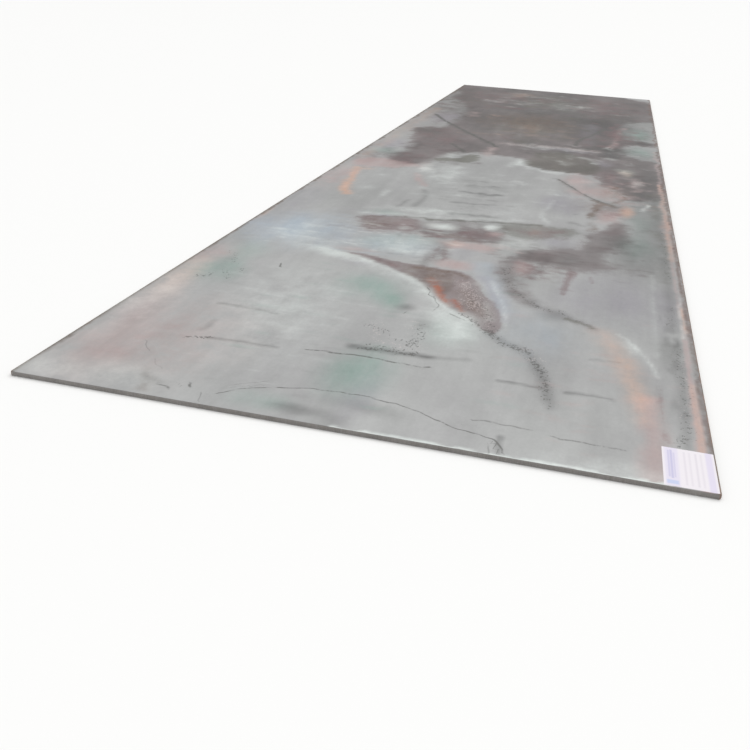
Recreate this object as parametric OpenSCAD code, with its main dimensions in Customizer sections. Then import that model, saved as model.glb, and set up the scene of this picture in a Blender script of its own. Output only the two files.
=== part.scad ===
// Hot-rolled steel plate, cut to length from wide strip, with a blank stock label at one corner.
// X runs across the width, Y along the rolling direction and Z up.
// The origin is the centre of the underside, which lies flat on the ground.

/* [Plate] */
// Width across the rolling direction
plate_width = 1500; // [600:10:3000]
// Length along the rolling direction
plate_length = 6000; // [1000:50:12000]
// Thickness of the plate
plate_thickness = 12; // [8:1:100]

/* [Edges] */
// Radius of the rounded mill edge along each long side
mill_edge_radius = 3.5; // [0.5:0.1:3.8]
// Radius of the worn arris along each cut end
cut_arris_radius = 1; // [0.5:0.1:3.8]
// Radius of the four upright corners, seen from above
corner_radius = 4; // [1:0.5:20]

/* [Stock label] */
// Side of the label that lies across the plate
label_width = 100; // [40:1:200]
// Side of the label that lies along the plate
label_length = 150; // [40:1:300]
// Thickness of the label and its adhesive
label_thickness = 0.2; // [0.1:0.05:0.5]
// Radius of the label's die-cut corners
label_corner_radius = 2; // [1:0.5:6]
// Flat steel left showing between the label and the rounded edges
label_margin = 0.5; // [0:0.1:50]

/* [Hidden] */
arc_facets = 48;

// The label's outer corner stands on flat steel, inside the mill edge and the cut arris.
label_centre_x = plate_width / 2 - mill_edge_radius - label_margin - label_width / 2;
label_centre_y = -plate_length / 2 + cut_arris_radius + label_margin + label_length / 2;

// A rectangle centred on the origin, with a true arc at each corner.
module rounded_rectangle(width, height, radius) {
    square([width, height - 2 * radius], center = true);
    square([width - 2 * radius, height], center = true);
    for (x = [-1, 1], y = [-1, 1])
        translate([x * (width / 2 - radius), y * (height / 2 - radius)])
            circle(r = radius, $fn = arc_facets);
}

// The rolled section, with its two mill edges, over the whole length.
module rolled_strip() {
    rotate([90, 0, 0])
        linear_extrude(height = plate_length, center = true)
            rounded_rectangle(plate_width, plate_thickness, mill_edge_radius);
}

// The lengthwise section, which gives the two cut ends their arrises.
module cut_length() {
    rotate([90, 0, 90])
        linear_extrude(height = plate_width, center = true)
            rounded_rectangle(plate_length, plate_thickness, cut_arris_radius);
}

// The outline from above, which gives the four upright corners.
module outline() {
    linear_extrude(height = plate_thickness, center = true)
        rounded_rectangle(plate_width, plate_length, corner_radius);
}

module plate() {
    color("#8e9091")
        translate([0, 0, plate_thickness / 2])
            intersection() {
                rolled_strip();
                cut_length();
                outline();
            }
}

module label() {
    color("#f2f0f6")
        translate([label_centre_x, label_centre_y, plate_thickness])
            linear_extrude(height = label_thickness)
                rounded_rectangle(label_width, label_length, label_corner_radius);
}

plate();
label();
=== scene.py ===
"""Looks for one hot-rolled steel plate that lies flat on a pale floor.

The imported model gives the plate's box and the label's box. This script builds a finer skin for
the plate, lays the marks of rolling, storage and handling on it, scatters loose scale, makes the
paper label, and sets up a plain studio.

Places on the plate are in millimetres from its near left corner: across first, then along.
"""

import logging
import math
from dataclasses import dataclass, field
from enum import Enum

import bpy
import numpy as np
from mathutils import Matrix, Vector


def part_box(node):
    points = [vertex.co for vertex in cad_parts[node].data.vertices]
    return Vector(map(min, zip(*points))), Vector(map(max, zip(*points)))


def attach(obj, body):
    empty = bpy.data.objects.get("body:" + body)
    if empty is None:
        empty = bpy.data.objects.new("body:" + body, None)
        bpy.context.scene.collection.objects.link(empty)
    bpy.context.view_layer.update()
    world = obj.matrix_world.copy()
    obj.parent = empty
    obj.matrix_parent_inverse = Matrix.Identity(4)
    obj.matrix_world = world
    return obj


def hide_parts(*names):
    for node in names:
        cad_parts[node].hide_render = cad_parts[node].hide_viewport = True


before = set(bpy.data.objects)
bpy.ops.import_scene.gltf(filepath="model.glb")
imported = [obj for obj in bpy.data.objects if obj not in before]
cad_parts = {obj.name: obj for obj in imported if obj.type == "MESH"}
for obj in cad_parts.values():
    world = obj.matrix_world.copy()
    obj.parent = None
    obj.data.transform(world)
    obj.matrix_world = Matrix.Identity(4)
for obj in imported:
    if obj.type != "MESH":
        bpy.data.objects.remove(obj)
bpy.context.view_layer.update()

log = logging.getLogger("steel_plate")

MM = 0.001
TINY = 1e-6
BODY = "root"

Socket = bpy.types.NodeSocket
Point = tuple[float, float]


# ---- Small tools ----


def linear(hex_colour: str) -> tuple[float, float, float, float]:
    """Turns an sRGB hex colour to linear red, green, blue and an alpha of 1.

    Its numbers are those of the sRGB standard.

    Args:
        hex_colour: six hex digits after a hash sign.

    Returns:
        The linear colour as four numbers.
    """
    levels = [int(hex_colour[i : i + 2], 16) / 255 for i in (1, 3, 5)]
    turned = [v / 12.92 if v <= 0.04045 else ((v + 0.055) / 1.055) ** 2.4 for v in levels]
    return (*turned, 1.0)


def per_metre(millimetres: float) -> float:
    """Gives the texture scale at which one feature of a pattern measures that many millimetres."""
    return 1 / (millimetres * MM)


def ease(share: np.ndarray) -> np.ndarray:
    """Turns shares into a smooth step that is 0 below 0 and 1 above 1."""
    share = np.clip(share, 0.0, 1.0)
    return share * share * (3 - 2 * share)


def add_node(
    tree: bpy.types.NodeTree, kind: str, output: str | None = None, **given: object
) -> Socket | bpy.types.Node:
    """Adds one node, sets it up and links it.

    Args:
        tree: the node tree that gets the node.
        kind: the node's type name in Blender.
        output: the output to return, by identifier or name, or None for the first one in use.
        **given: what the node is given. A name in lower case is one of the node's own settings. Any
            other is an input, by its identifier, or by its name with an underscore for each space,
            and is given a value or an output socket.

    Returns:
        The chosen output socket, or the node itself where it has no output.
    """
    node = tree.nodes.new(kind)
    for setting in filter(str.islower, given):
        setattr(node, setting, given[setting])
    for name, value in given.items():
        if name.islower():
            continue
        found = [s for s in node.inputs if s.identifier == name]
        found += [s for s in node.inputs if s.name == name.replace("_", " ") and s.enabled]
        if isinstance(value, bpy.types.NodeSocket):
            tree.links.new(value, found[0])
        else:
            found[0].default_value = value
    if output is not None:
        return next(s for s in node.outputs if output in (s.identifier, s.name) and s.enabled)
    return next((s for s in node.outputs if s.enabled), node)


def new_material(name: str) -> tuple[bpy.types.Material, bpy.types.NodeTree]:
    """Makes an empty node material.

    Args:
        name: the material's name.

    Returns:
        The material and its tree.
    """
    material = bpy.data.materials.new(name)
    material.use_nodes = True
    material.node_tree.nodes.clear()
    return material, material.node_tree


def mesh_object(name: str, mesh: bpy.types.Mesh) -> bpy.types.Object:
    """Puts a mesh into the scene as an object at the origin.

    Args:
        name: the object's name.
        mesh: its mesh.

    Returns:
        The object.
    """
    piece = bpy.data.objects.new(name, mesh)
    bpy.context.scene.collection.objects.link(piece)
    return piece


# ---- Marks on the plate ----


class Tone(Enum):
    """The kinds of mark on the plate's top, each with a mask of its own on the mesh."""

    DUSK = "dusk"  # dull, red-grey scale
    DARK_SCALE_AND_SHADE = "shade"  # plain darker scale, and painted shade that darkens the far end
    LILAC = "lilac"  # the thin temper colours: lilac,
    ROSE = "rose"  # pink,
    TEAL = "teal"  # green,
    PAINTED_SKY_REFLECTION = "sky"  # a painted reflection of a bluish sky, which is no temper colour;
    PEACH = "peach"  # and light orange
    OLIVE = "olive"  # thick olive-grey scale
    MAUVE = "mauve"  # red-brown oxide film
    UMBER = "umber"  # dark brown oxide
    RUST = "rust"  # fresh orange rust
    BLOOM = "bloom"  # pale, smooth scale, and the painted highlight along the near arris
    SCUFF = "scuff"  # dark, speckled rubbing
    FLECK = "fleck"  # pale flecks where scale came off


SCORE_GAP = "score_gap"  # how far a place lies from the nearest scratch, in half widths, with a side
SCORE_NEAR = "score_near"  # how much of that scratch there is
LOOSE = "loose"  # how thickly loose scale lies
FARTHEST = 9.0  # the most half widths that are told apart

# The ranges that a smear's size, its two sides and its strength are drawn from, as shares of its
# patch's own, and how far it may be turned, in degrees.
SMEAR_SIZE, SMEAR_SIDES, SMEAR_STRENGTH, SMEAR_TURN = (0.5, 1.5), (0.7, 1.3), (0.4, 1.0), (-9.0, 9.0)


def rounded(points: tuple[Point, ...], closed: bool, passes: int = 2) -> np.ndarray:
    """Cuts the corners of a line of points again and again, so that it becomes a smooth curve.

    Each cut runs from a quarter before a corner to a quarter past it.

    Args:
        points: the line's points.
        closed: whether the last point joins the first.
        passes: how many times the corners are cut.

    Returns:
        The smooth line's points, one row each.
    """
    line = np.array(points, float)
    for _ in range(passes):
        after = np.roll(line, -1, axis=0) if closed else line[1:]
        before = line if closed else line[:-1]
        cut = np.stack([0.75 * before + 0.25 * after, 0.25 * before + 0.75 * after], axis=1)
        cut = cut.reshape(-1, 2)
        line = cut if closed else np.vstack([line[:1], cut, line[-1:]])
    return line


@dataclass(frozen=True)
class Nearest:
    """How a set of places lies against a line: one value a place in each array.

    Attributes:
        gap: the distance to the line.
        along: how far along the line its nearest point lies, from 0 to 1.
        side: 1 to the left of the line and -1 to its right.
        past: the distance by which a place lies past either end of the line.
    """

    gap: np.ndarray
    along: np.ndarray
    side: np.ndarray
    past: np.ndarray


def nearest_on_line(places: np.ndarray, line: np.ndarray) -> Nearest:
    """Measures places against a line.

    Args:
        places: the places, one row each.
        line: the line's points, one row each.

    Returns:
        The measurements.
    """
    steps = np.hypot(*np.diff(line, axis=0).T)
    run = np.concatenate([[0.0], np.cumsum(steps)])
    gap, along = np.full(len(places), np.inf), np.zeros(len(places))
    side, past = np.ones(len(places)), np.zeros(len(places))
    for start, end, step, before in zip(line[:-1], line[1:], steps, run):
        if step == 0:
            continue
        way = (end - start) / step
        offset = places - start
        ahead = offset @ way
        share = np.clip(ahead, 0, step)
        far = np.hypot(*(offset - share[:, None] * way).T)
        closer = far < gap
        gap[closer] = far[closer]
        along[closer] = (before + share[closer]) / run[-1]
        side[closer] = np.where(way[0] * offset[closer, 1] > way[1] * offset[closer, 0], 1, -1)
        past[closer] = np.abs(ahead - share)[closer]
    past[(along > 0) & (along < 1)] = 0
    return Nearest(gap, along, side, past)


@dataclass(frozen=True)
class Stroke:
    """A mark that was dragged along a path.

    Attributes:
        tone: the kind of mark.
        path: the points that the mark follows.
        width: its width at the first point and at the last.
        feather: the distance over which its edge fades.
        strength: its mask at full, from 0 to 1.
    """

    tone: Tone
    path: tuple[Point, ...]
    width: Point
    feather: float
    strength: float

    def reach(self) -> tuple[np.ndarray, np.ndarray]:
        """Gives the lowest and highest corner of the area that the mark can touch."""
        line, margin = np.array(self.path, float), max(self.width) / 2 + self.feather
        return line.min(0) - margin, line.max(0) + margin

    def mask(self, places: np.ndarray) -> np.ndarray:
        """Gives the mark's mask.

        Args:
            places: the places, one row each.

        Returns:
            The mask at each place.
        """
        found = nearest_on_line(places, rounded(self.path, closed=False))
        half = (self.width[0] + (self.width[1] - self.width[0]) * found.along) / 2
        return self.strength * ease(0.5 + (half - found.gap) / self.feather)


@dataclass(frozen=True)
class Blot:
    """A mark with an outline.

    Attributes:
        tone: the kind of mark.
        outline: the corners of its outline, which are rounded off.
        feather: the distance over which its edge fades.
        strength: its mask at full, from 0 to 1.
    """

    tone: Tone
    outline: tuple[Point, ...]
    feather: float
    strength: float

    def reach(self) -> tuple[np.ndarray, np.ndarray]:
        """Gives the lowest and highest corner of the area that the mark can touch."""
        line = np.array(self.outline, float)
        return line.min(0) - self.feather, line.max(0) + self.feather

    def mask(self, places: np.ndarray) -> np.ndarray:
        """Gives the mark's mask.

        Args:
            places: the places, one row each.

        Returns:
            The mask at each place.
        """
        line = rounded(self.outline, closed=True)
        ring = np.vstack([line, line[:1]])
        gap = nearest_on_line(places, ring).gap
        inside = np.zeros(len(places), bool)
        for (ax, ay), (bx, by) in zip(ring[:-1], ring[1:]):
            if ay != by:
                spans = (ay > places[:, 1]) != (by > places[:, 1])
                crossing = ax + (places[:, 1] - ay) * (bx - ax) / (by - ay)
                inside ^= spans & (places[:, 0] < crossing)
        return self.strength * ease(0.5 + np.where(inside, gap, -gap) / self.feather)


@dataclass(frozen=True)
class Cloud:
    """A soft oval mark, full at its centre and gone at its rim.

    Attributes:
        tone: the kind of mark.
        centre: its centre.
        radii: its half width and half length, before it is turned.
        strength: its mask at full, from 0 to 1.
        turn: how far it is turned, in degrees.
    """

    tone: Tone
    centre: Point
    radii: Point
    strength: float
    turn: float = 0.0

    def reach(self) -> tuple[np.ndarray, np.ndarray]:
        """Gives the lowest and highest corner of the area that the mark can touch."""
        middle, most = np.array(self.centre, float), max(self.radii)
        return middle - most, middle + most

    def mask(self, places: np.ndarray) -> np.ndarray:
        """Gives the mark's mask.

        Args:
            places: the places, one row each.

        Returns:
            The mask at each place.
        """
        angle = math.radians(self.turn)
        offset = places - np.array(self.centre, float)
        across = offset[:, 0] * math.cos(angle) + offset[:, 1] * math.sin(angle)
        along = offset[:, 1] * math.cos(angle) - offset[:, 0] * math.sin(angle)
        rim = np.hypot(across / self.radii[0], along / self.radii[1])
        return self.strength * ease(1 - rim)


@dataclass(frozen=True)
class Dabs:
    """A patch of short smears, each one dragged across the plate as it was shifted.

    Attributes:
        tone: the kind of mark.
        centre: the centre of the patch.
        spread: how far the smears lie from it, across and along the plate.
        count: how many smears there are.
        radii: a smear's half width across the plate and its half length along it.
        strength: the darkest smear's mask, from 0 to 1.
        seed: the patch's seed.
    """

    tone: Tone
    centre: Point
    spread: Point
    count: int
    radii: Point
    strength: float
    seed: int

    def smears(self) -> tuple[Cloud, ...]:
        """Throws the patch's smears.

        Returns:
            The smears, as clouds.
        """
        dice = np.random.default_rng(self.seed)
        made = []
        for _ in range(self.count):
            spot = np.array(self.centre) + np.array(self.spread) * np.clip(dice.normal(0, 0.5, 2), -1, 1)
            size = np.array(self.radii) * dice.uniform(*SMEAR_SIZE) * dice.uniform(*SMEAR_SIDES, 2)
            turn, share = dice.uniform(*SMEAR_TURN), dice.uniform(*SMEAR_STRENGTH)
            made.append(Cloud(self.tone, tuple(spot), tuple(size), self.strength * share, turn))
        return tuple(made)


@dataclass(frozen=True)
class Scratch:
    """A thin scratch.

    It is kept on the mesh as a distance, which the mesh's cells carry faithfully even where the
    scratch is thinner than they are.

    Attributes:
        path: the points that it follows.
        width: its width.
        strength: how dark it is, from 0 to 1.
    """

    path: tuple[Point, ...]
    width: float
    strength: float


Mark = Stroke | Blot | Cloud


def paired(row: tuple[float, ...]) -> tuple[Point, ...]:
    """Pairs up the numbers of a path or an outline, which are across and along in turn."""
    return tuple(zip(row[::2], row[1::2]))


def clouds(tone: Tone, *rows: tuple[float, ...]) -> list[Cloud]:
    """Makes clouds, each from its centre, half width, half length, strength and turn, if it has one."""
    return [Cloud(tone, row[:2], row[2:4], *row[4:]) for row in rows]


def strokes(tone: Tone, *rows: tuple[float, ...]) -> list[Stroke]:
    """Makes strokes, each from its two widths, its feather, its strength and its path."""
    return [Stroke(tone, paired(row[4:]), row[:2], *row[2:4]) for row in rows]


def blots(tone: Tone, *rows: tuple[float, ...]) -> list[Blot]:
    """Makes blots, each from its feather, its strength and its outline."""
    return [Blot(tone, paired(row[2:]), *row[:2]) for row in rows]


# Every mark that was placed one by one, tone by tone.
PLACED: tuple[Mark, ...] = (
    # The dull ground of the far half, the bar across the middle, and what the second track comes out of.
    *blots(
        Tone.DUSK,
        (70, 0.58, 1000, 1395, 1060, 1430, 1080, 1500, 1165, 1500, 1175, 1600, 1195, 1740, 1250, 1810,
         1290, 1900, 1325, 1900, 1335, 1760, 1330, 1680, 1290, 1560, 1250, 1480, 1262, 1360, 1250, 1290,
         1215, 1250, 1120, 1256, 1085, 1276, 1060, 1300, 1000, 1290, 985, 1340),
        (40, 0.45, 590, 1650, 720, 1690, 880, 1715, 910, 1560, 890, 1440, 800, 1410, 690, 1420, 600, 1450),
        (90, 0.3, 40, 2560, 200, 2560, 340, 2600, 250, 2800, 120, 3000, 40, 2900),
        (80, 0.7, 190, 2630, 262, 2600, 340, 2622, 372, 2690, 392, 2790, 430, 2950, 500, 3060, 600, 3062,
         690, 3066, 800, 3050, 828, 2990, 832, 2930, 880, 2862, 960, 2808, 1080, 2792, 1185, 2800,
         1205, 2700, 1200, 2560, 1290, 2520, 1322, 2400, 1345, 2320, 1405, 2330, 1450, 2420, 1500, 2500,
         1500, 3290, 1400, 3330, 1322, 3400, 1300, 3600, 1292, 3720, 1400, 3745, 1490, 3760, 1490, 3900,
         1330, 3925, 1290, 4010, 1280, 4450, 1330, 4620, 1460, 4700, 1560, 4800, 1560, 6080, -60, 6080,
         -60, 5700, 90, 5500, 60, 5150, 210, 4900, 240, 4600, 290, 4400, 280, 4000, 262, 3850, 240, 3760,
         170, 3712, 92, 3662, 95, 3590, 130, 3500, 150, 3400, 190, 3200, 215, 3100, 225, 2980, 192, 2900,
         185, 2750),
        (300, 0.3, -60, 4300, 240, 4000, 300, 4700, 180, 5300, 90, 6100, -60, 6100),
        (160, 0.42, 1000, 3250, 1340, 3250, 1370, 4650, 980, 4650),
    ),
    *strokes(
        Tone.DUSK,
        (50, 60, 50, 0.3, 705, 1380, 720, 1300, 735, 1190),
        (16, 22, 30, 0.3, 680, 1290, 690, 1200, 700, 1110),
        (60, 20, 70, 0.32, 1230, 1540, 1310, 1530, 1380, 1545),
        (120, 44, 70, 0.5, 1040, 1370, 990, 1290, 962, 1200, 958, 1110, 980, 1030, 1015, 955),
        (50, 20, 56, 0.42, 1066, 1310, 1058, 1200, 1040, 1132),
        (60, 12, 60, 0.32, 1010, 960, 1060, 890, 1130, 850, 1190, 800, 1244, 752),
        (30, 60, 50, 0.4, 1290, 1950, 1285, 1860, 1275, 1760),
        (140, 120, 120, 0.25, 1395, 4000, 1400, 4300),
    ),
    *clouds(Tone.DUSK, (1290, 1320, 150, 90, 0.3), (225, 3050, 90, 160, 0.25), (200, 4150, 150, 420, 0.45)),
    # Smears of darker scale all over the plate, and painted shade that darkens the plate towards its far end.
    *blots(
        Tone.DARK_SCALE_AND_SHADE,
        # Painted shade: three broad blots darken the plate more and more towards its far end, in place of the
        # darker reflection it gets there.
        (900, 0.135, -100, 1300, 1600, 1300, 1600, 6200, -100, 6200),
        (700, 0.14, -100, 3250, 1600, 3250, 1600, 6200, -100, 6200),
        (500, 0.26, 250, 4150, 1600, 4050, 1600, 6200, -100, 6200, -100, 4700),
    ),
    *strokes(
        Tone.DARK_SCALE_AND_SHADE,
        (15, 9, 14, 0.5, 250, 556, 330, 556, 420, 545), (15, 9, 14, 0.55, 325, 328, 400, 336, 500, 334),
        (12, 20, 20, 0.4, 288, 440, 294, 400, 288, 372), (12, 16, 26, 0.3, 280, 90, 330, 60),
        (30, 20, 26, 0.6, 670, 408, 760, 410, 860, 415), (22, 8, 26, 0.3, 860, 412, 960, 428),
        (9, 12, 12, 0.5, 1040, 342, 1090, 341, 1135, 336),
        (14, 9, 12, 0.45, 1195, 334, 1245, 336, 1298, 330), (7, 7, 12, 0.35, 1240, 546, 1310, 550),
        (14, 8, 14, 0.5, 1078, 75, 1082, 0), (60, 50, 90, 0.14, 1290, 640, 1340, 460, 1360, 300),
        (10, 10, 18, 0.3, 508, 1320, 514, 1250, 530, 1190), (10, 6, 14, 0.35, 545, 1440, 552, 1375),
        (60, 40, 40, 0.14, 880, 960, 920, 840, 960, 720),
        (34, 26, 44, 0.22, 1000, 600, 1080, 530, 1130, 420, 1160, 280),
        (26, 18, 36, 0.34, 975, 620, 1030, 564, 1082, 540, 1112, 464, 1140, 380, 1168, 250),
        (20, 8, 30, 0.26, 1078, 874, 1120, 860, 1176, 814, 1244, 752),
        (14, 16, 18, 0.35, 600, 1660, 720, 1690, 850, 1722, 930, 1740, 1015, 1756),
        (12, 16, 30, 0.25, 620, 1500, 640, 1450, 700, 1440),
        (120, 220, 240, 0.27, 1440, 350, 1420, 1000, 1410, 2000, 1420, 3100),
        (12, 8, 26, 0.3, 118, 2440, 200, 2478, 320, 2530),
        (14, 18, 36, 0.4, 490, 2110, 510, 2030, 518, 1950, 512, 1840),
        (14, 14, 26, 0.32, 462, 1920, 458, 1860, 450, 1800), (30, 24, 44, 0.3, 630, 2386, 710, 2395),
        (30, 40, 60, 0.38, 660, 2285, 750, 2295), (16, 24, 34, 0.68, 640, 2170, 720, 2172, 800, 2160),
        (10, 12, 30, 0.25, 640, 2060, 700, 2070, 800, 2062),
        (12, 16, 26, 0.42, 650, 1975, 700, 1982, 780, 1978), (10, 10, 18, 0.3, 770, 1985, 890, 2005),
        (22, 26, 40, 0.56, 660, 1790, 700, 1795, 750, 1790), (20, 16, 34, 0.46, 780, 1800, 840, 1806),
        (14, 34, 26, 0.42, 1010, 2640, 1060, 2540, 1100, 2450, 1150, 2340, 1200, 2270, 1280, 2205),
        (26, 16, 30, 0.3, 1215, 2200, 1200, 2100, 1192, 2000),
        (24, 40, 40, 0.3, 1452, 1450, 1450, 1900, 1445, 2400), (34, 24, 34, 0.3, 1120, 1850, 1160, 1830),
        (16, 22, 50, 0.16, 215, 3450, 225, 3200, 260, 3000),
        (14, 24, 40, 0.42, 110, 4260, 200, 4050, 300, 3880, 400, 3700, 500, 3540, 600, 3380),
        (20, 26, 30, 0.3, 400, 3260, 460, 3150, 505, 3060),
        (20, 24, 40, 0.42, 1190, 4220, 1130, 4000, 1060, 3780, 1045, 3600),
        (14, 14, 40, 0.3, 980, 4080, 990, 3900, 985, 3700), (20, 20, 50, 0.14, 640, 4000, 650, 3700),
        (20, 30, 60, 0.14, 880, 4300, 900, 4000, 890, 3700),
        (16, 20, 50, 0.16, 480, 4300, 500, 4000, 540, 3800), (24, 16, 40, 0.35, 1290, 4300, 1300, 4200),
        (14, 22, 26, 0.12, 26, 150, 28, 1500, 26, 2900), (18, 26, 30, 0.3, 1448, 160, 1456, 450, 1450, 720),
        (26, 40, 34, 0.36, 1446, 820, 1452, 1100, 1456, 1500),
        (50, 110, 90, 0.2, 1440, 1300, 1430, 1900, 1430, 2600), (30, 30, 40, 0.15, 1415, 1000, 1450, 1000),
        (10, 10, 9, 0.25, 1494, -20, 1493, 800),
    ),
    *clouds(
        Tone.DARK_SCALE_AND_SHADE,
        (1250, 1000, 340, 520, 0.27), (1120, 600, 230, 330, 0.2), (1270, 230, 330, 400, 0.19),
        (770, 330, 260, 420, 0.07), (730, 722, 48, 42, 0.5), (150, 800, 110, 180, 0.1, 10),
        (650, 48, 95, 40, 0.42), (790, 105, 120, 50, 0.35, -10), (740, 30, 60, 60, 0.3),
        (810, 610, 50, 60, 0.25), (1425, 640, 34, 160, 0.22), (60, 1180, 60, 180, 0.22, 14),
        (960, 1420, 150, 200, 0.2), (970, 1120, 120, 210, 0.34), (1300, 1420, 220, 320, 0.22),
        (900, 810, 90, 130, 0.22, -20), (900, 880, 70, 150, 0.14, 14), (1140, 1350, 150, 140, 0.25),
        (1280, 1680, 90, 150, 0.3, -15), (1330, 1600, 110, 90, 0.2), (1130, 815, 70, 70, 0.45),
        (1060, 900, 50, 60, 0.3), (1090, 1530, 90, 120, 0.25), (1360, 1500, 180, 380, 0.35),
        (750, 2450, 560, 700, 0.15), (1270, 2200, 130, 250, 0.2), (280, 1900, 320, 420, 0.16),
        (1215, 2450, 130, 190, 0.16), (1080, 2130, 150, 230, 0.2), (1400, 2000, 110, 420, 0.25),
        # Painted shade: the first cloud on this line, the broadest, darkens the far end in place of its
        # darker reflection.
        (950, 4500, 800, 900, 0.47), (900, 4350, 600, 480, 0.2), (1180, 4250, 260, 480, 0.3),
        (1020, 3400, 280, 220, 0.3), (1380, 3350, 190, 380, 0.24), (1425, 3400, 110, 250, 0.25),
        (530, 2880, 130, 260, 0.22), (820, 1720, 110, 110, 0.15), (1120, 1700, 110, 120, 0.2),
        (290, 2900, 80, 200, 0.1), (1380, 2460, 90, 150, 0.35), (1430, 2900, 60, 400, 0.25),
        (1250, 3060, 130, 190, 0.34), (1120, 3530, 190, 80, 0.35), (1240, 3420, 110, 300, 0.75),
        (1390, 3840, 150, 130, 0.7), (1150, 3760, 90, 180, 0.22), (1400, 3540, 150, 260, 0.3),
        (1390, 4150, 180, 420, 0.45),
    ),
    # Faint lilac patches.
    *strokes(
        Tone.LILAC,
        (52, 24, 36, 0.75, 905, 1060, 950, 940, 985, 825, 1006, 720),
        (80, 60, 90, 0.15, 1090, 4350, 1100, 4000, 1120, 3650),
    ),
    *clouds(
        Tone.LILAC,
        (1290, 1000, 260, 380, 0.45), (760, 150, 60, 200, 0.4), (90, 1340, 120, 240, 0.35, 12),
        (800, 1280, 70, 130, 0.4), (500, 1060, 90, 60, 0.35, -20), (1090, 1560, 110, 130, 0.5),
        (60, 1750, 120, 330, 0.4), (1080, 2150, 170, 260, 0.5), (110, 3080, 110, 260, 0.55),
        (180, 4150, 130, 380, 0.6), (1210, 3120, 70, 160, 0.4), (1000, 3400, 260, 90, 0.4),
        (1090, 4150, 150, 420, 0.15),
    ),
    # Pink patches, the broadest of them at the near left corner.
    *blots(
        Tone.ROSE,
        (50, 0.6, 680, 1420, 890, 1430, 890, 1340, 820, 1330, 700, 1350),
        (60, 0.7, 40, 2480, 150, 2470, 340, 2540, 370, 2640, 200, 2680, 60, 2700),
    ),
    *strokes(
        Tone.ROSE,
        (40, 60, 50, 0.7, 1375, 360, 1385, 220, 1382, 20), (34, 26, 34, 0.5, 846, 1000, 856, 920, 868, 820),
        (34, 24, 44, 0.6, 390, 2420, 430, 2300, 465, 2200),
        (44, 40, 80, 0.5, 625, 3240, 615, 3120, 622, 3030), (60, 24, 80, 0.5, 330, 4480, 345, 4330),
        (24, 30, 50, 0.35, 1300, 4350, 1260, 4100, 1270, 3800, 1230, 3600),
        (60, 60, 90, 0.3, 650, 3420, 850, 3440, 1050, 3450, 1150, 3430),
        (20, 10, 12, 0.8, 1474, -20, 1474, 460, 1476, 760),
        (8, 14, 14, 0.5, 1476, 700, 1474, 1600, 1474, 3600),
    ),
    *clouds(
        Tone.ROSE,
        (85, 420, 110, 480, 0.65, 6), (40, 960, 110, 160, 0.45, 6), (200, 200, 170, 260, 0.25),
        (250, 330, 300, 400, 0.3), (90, 120, 190, 190, 0.35), (450, 1180, 110, 40, 0.5),
        (790, 1160, 100, 80, 0.85), (612, 1070, 34, 26, 0.7, -30), (1000, 1210, 50, 120, 0.6),
        (520, 1570, 60, 90, 0.35), (870, 1565, 46, 60, 0.8), (70, 2250, 110, 480, 0.45),
        (390, 2600, 70, 130, 0.4, 8), (1110, 2640, 110, 230, 0.75), (1200, 2430, 190, 180, 0.6),
        (1260, 2020, 80, 190, 0.9, -10), (1462, 1950, 26, 130, 0.5), (1365, 2700, 50, 150, 0.5),
    ),
    # Greenish patches, most of them in the first two metres.
    *clouds(
        Tone.TEAL,
        (600, 875, 75, 105, 0.58, 20), (672, 770, 65, 130, 0.58, 22), (600, 850, 170, 200, 0.35, 20),
        (725, 270, 125, 220, 0.6), (560, 60, 120, 70, 0.3), (130, 830, 120, 190, 0.4, 10),
        (540, 1310, 160, 130, 0.5), (140, 1060, 110, 170, 0.3, 8), (620, 1380, 150, 90, 0.25),
        (880, 600, 150, 190, 0.2), (1370, 1600, 110, 250, 0.15), (420, 1690, 120, 60, 0.3),
        (1380, 1950, 90, 330, 0.15), (120, 2900, 110, 160, 0.4), (1320, 2930, 70, 160, 0.4),
        (1400, 3550, 130, 220, 0.35), (1390, 4150, 120, 330, 0.5),
    ),
    # Painted reflection of a bluish sky: the bluish ground beyond the sweeping stain.
    *strokes(Tone.PAINTED_SKY_REFLECTION, (70, 36, 60, 0.45, 880, 1180, 925, 1030, 965, 905, 1000, 790)),
    *clouds(
        Tone.PAINTED_SKY_REFLECTION,
        (1090, 640, 170, 260, 0.35), (200, 1330, 300, 330, 0.95, 8), (560, 1290, 200, 180, 0.6),
    ),
    # Light orange, most of it near the long edges.
    *strokes(
        Tone.PEACH,
        (50, 34, 74, 0.28, 1262, 740, 1290, 650, 1330, 520, 1352, 380, 1368, 250),
        (40, 30, 56, 0.2, 1318, 560, 1342, 450, 1350, 360), (18, 16, 14, 0.6, 790, 890, 812, 835, 845, 785),
        (28, 40, 40, 0.8, 98, 2450, 116, 2330, 130, 2230, 150, 2100, 176, 1990, 206, 1930),
        (50, 60, 90, 0.2, 50, 2700, 60, 3600, 60, 4500),
        (60, 60, 120, 0.14, 700, 4150, 780, 4000, 700, 3850), (14, 10, 12, 0.4, 1475, 150, 1476, 480),
        (6, 6, 9, 0.6, 1483, 820, 1482, 1020), (14, 16, 26, 0.42, 1474, 1500, 1476, 2250, 1478, 2700),
    ),
    *clouds(
        Tone.PEACH,
        (50, 720, 80, 300, 0.3, 4), (1000, 1660, 40, 60, 0.3), (755, 1395, 50, 60, 0.35),
        (140, 2420, 70, 60, 0.4), (1325, 2120, 46, 130, 0.75), (1320, 2920, 60, 130, 0.35),
        (760, 4080, 120, 200, 0.14), (520, 5600, 170, 240, 0.2), (14, 1480, 20, 140, 0.3),
    ),
    # Olive-grey patches, most of them in the dull ground.
    *blots(
        Tone.OLIVE,
        (60, 0.5, 880, 1740, 1010, 1756, 1100, 1765, 1152, 1725, 1142, 1640, 1085, 1600, 1020, 1565,
         950, 1540, 890, 1590, 872, 1680),
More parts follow.
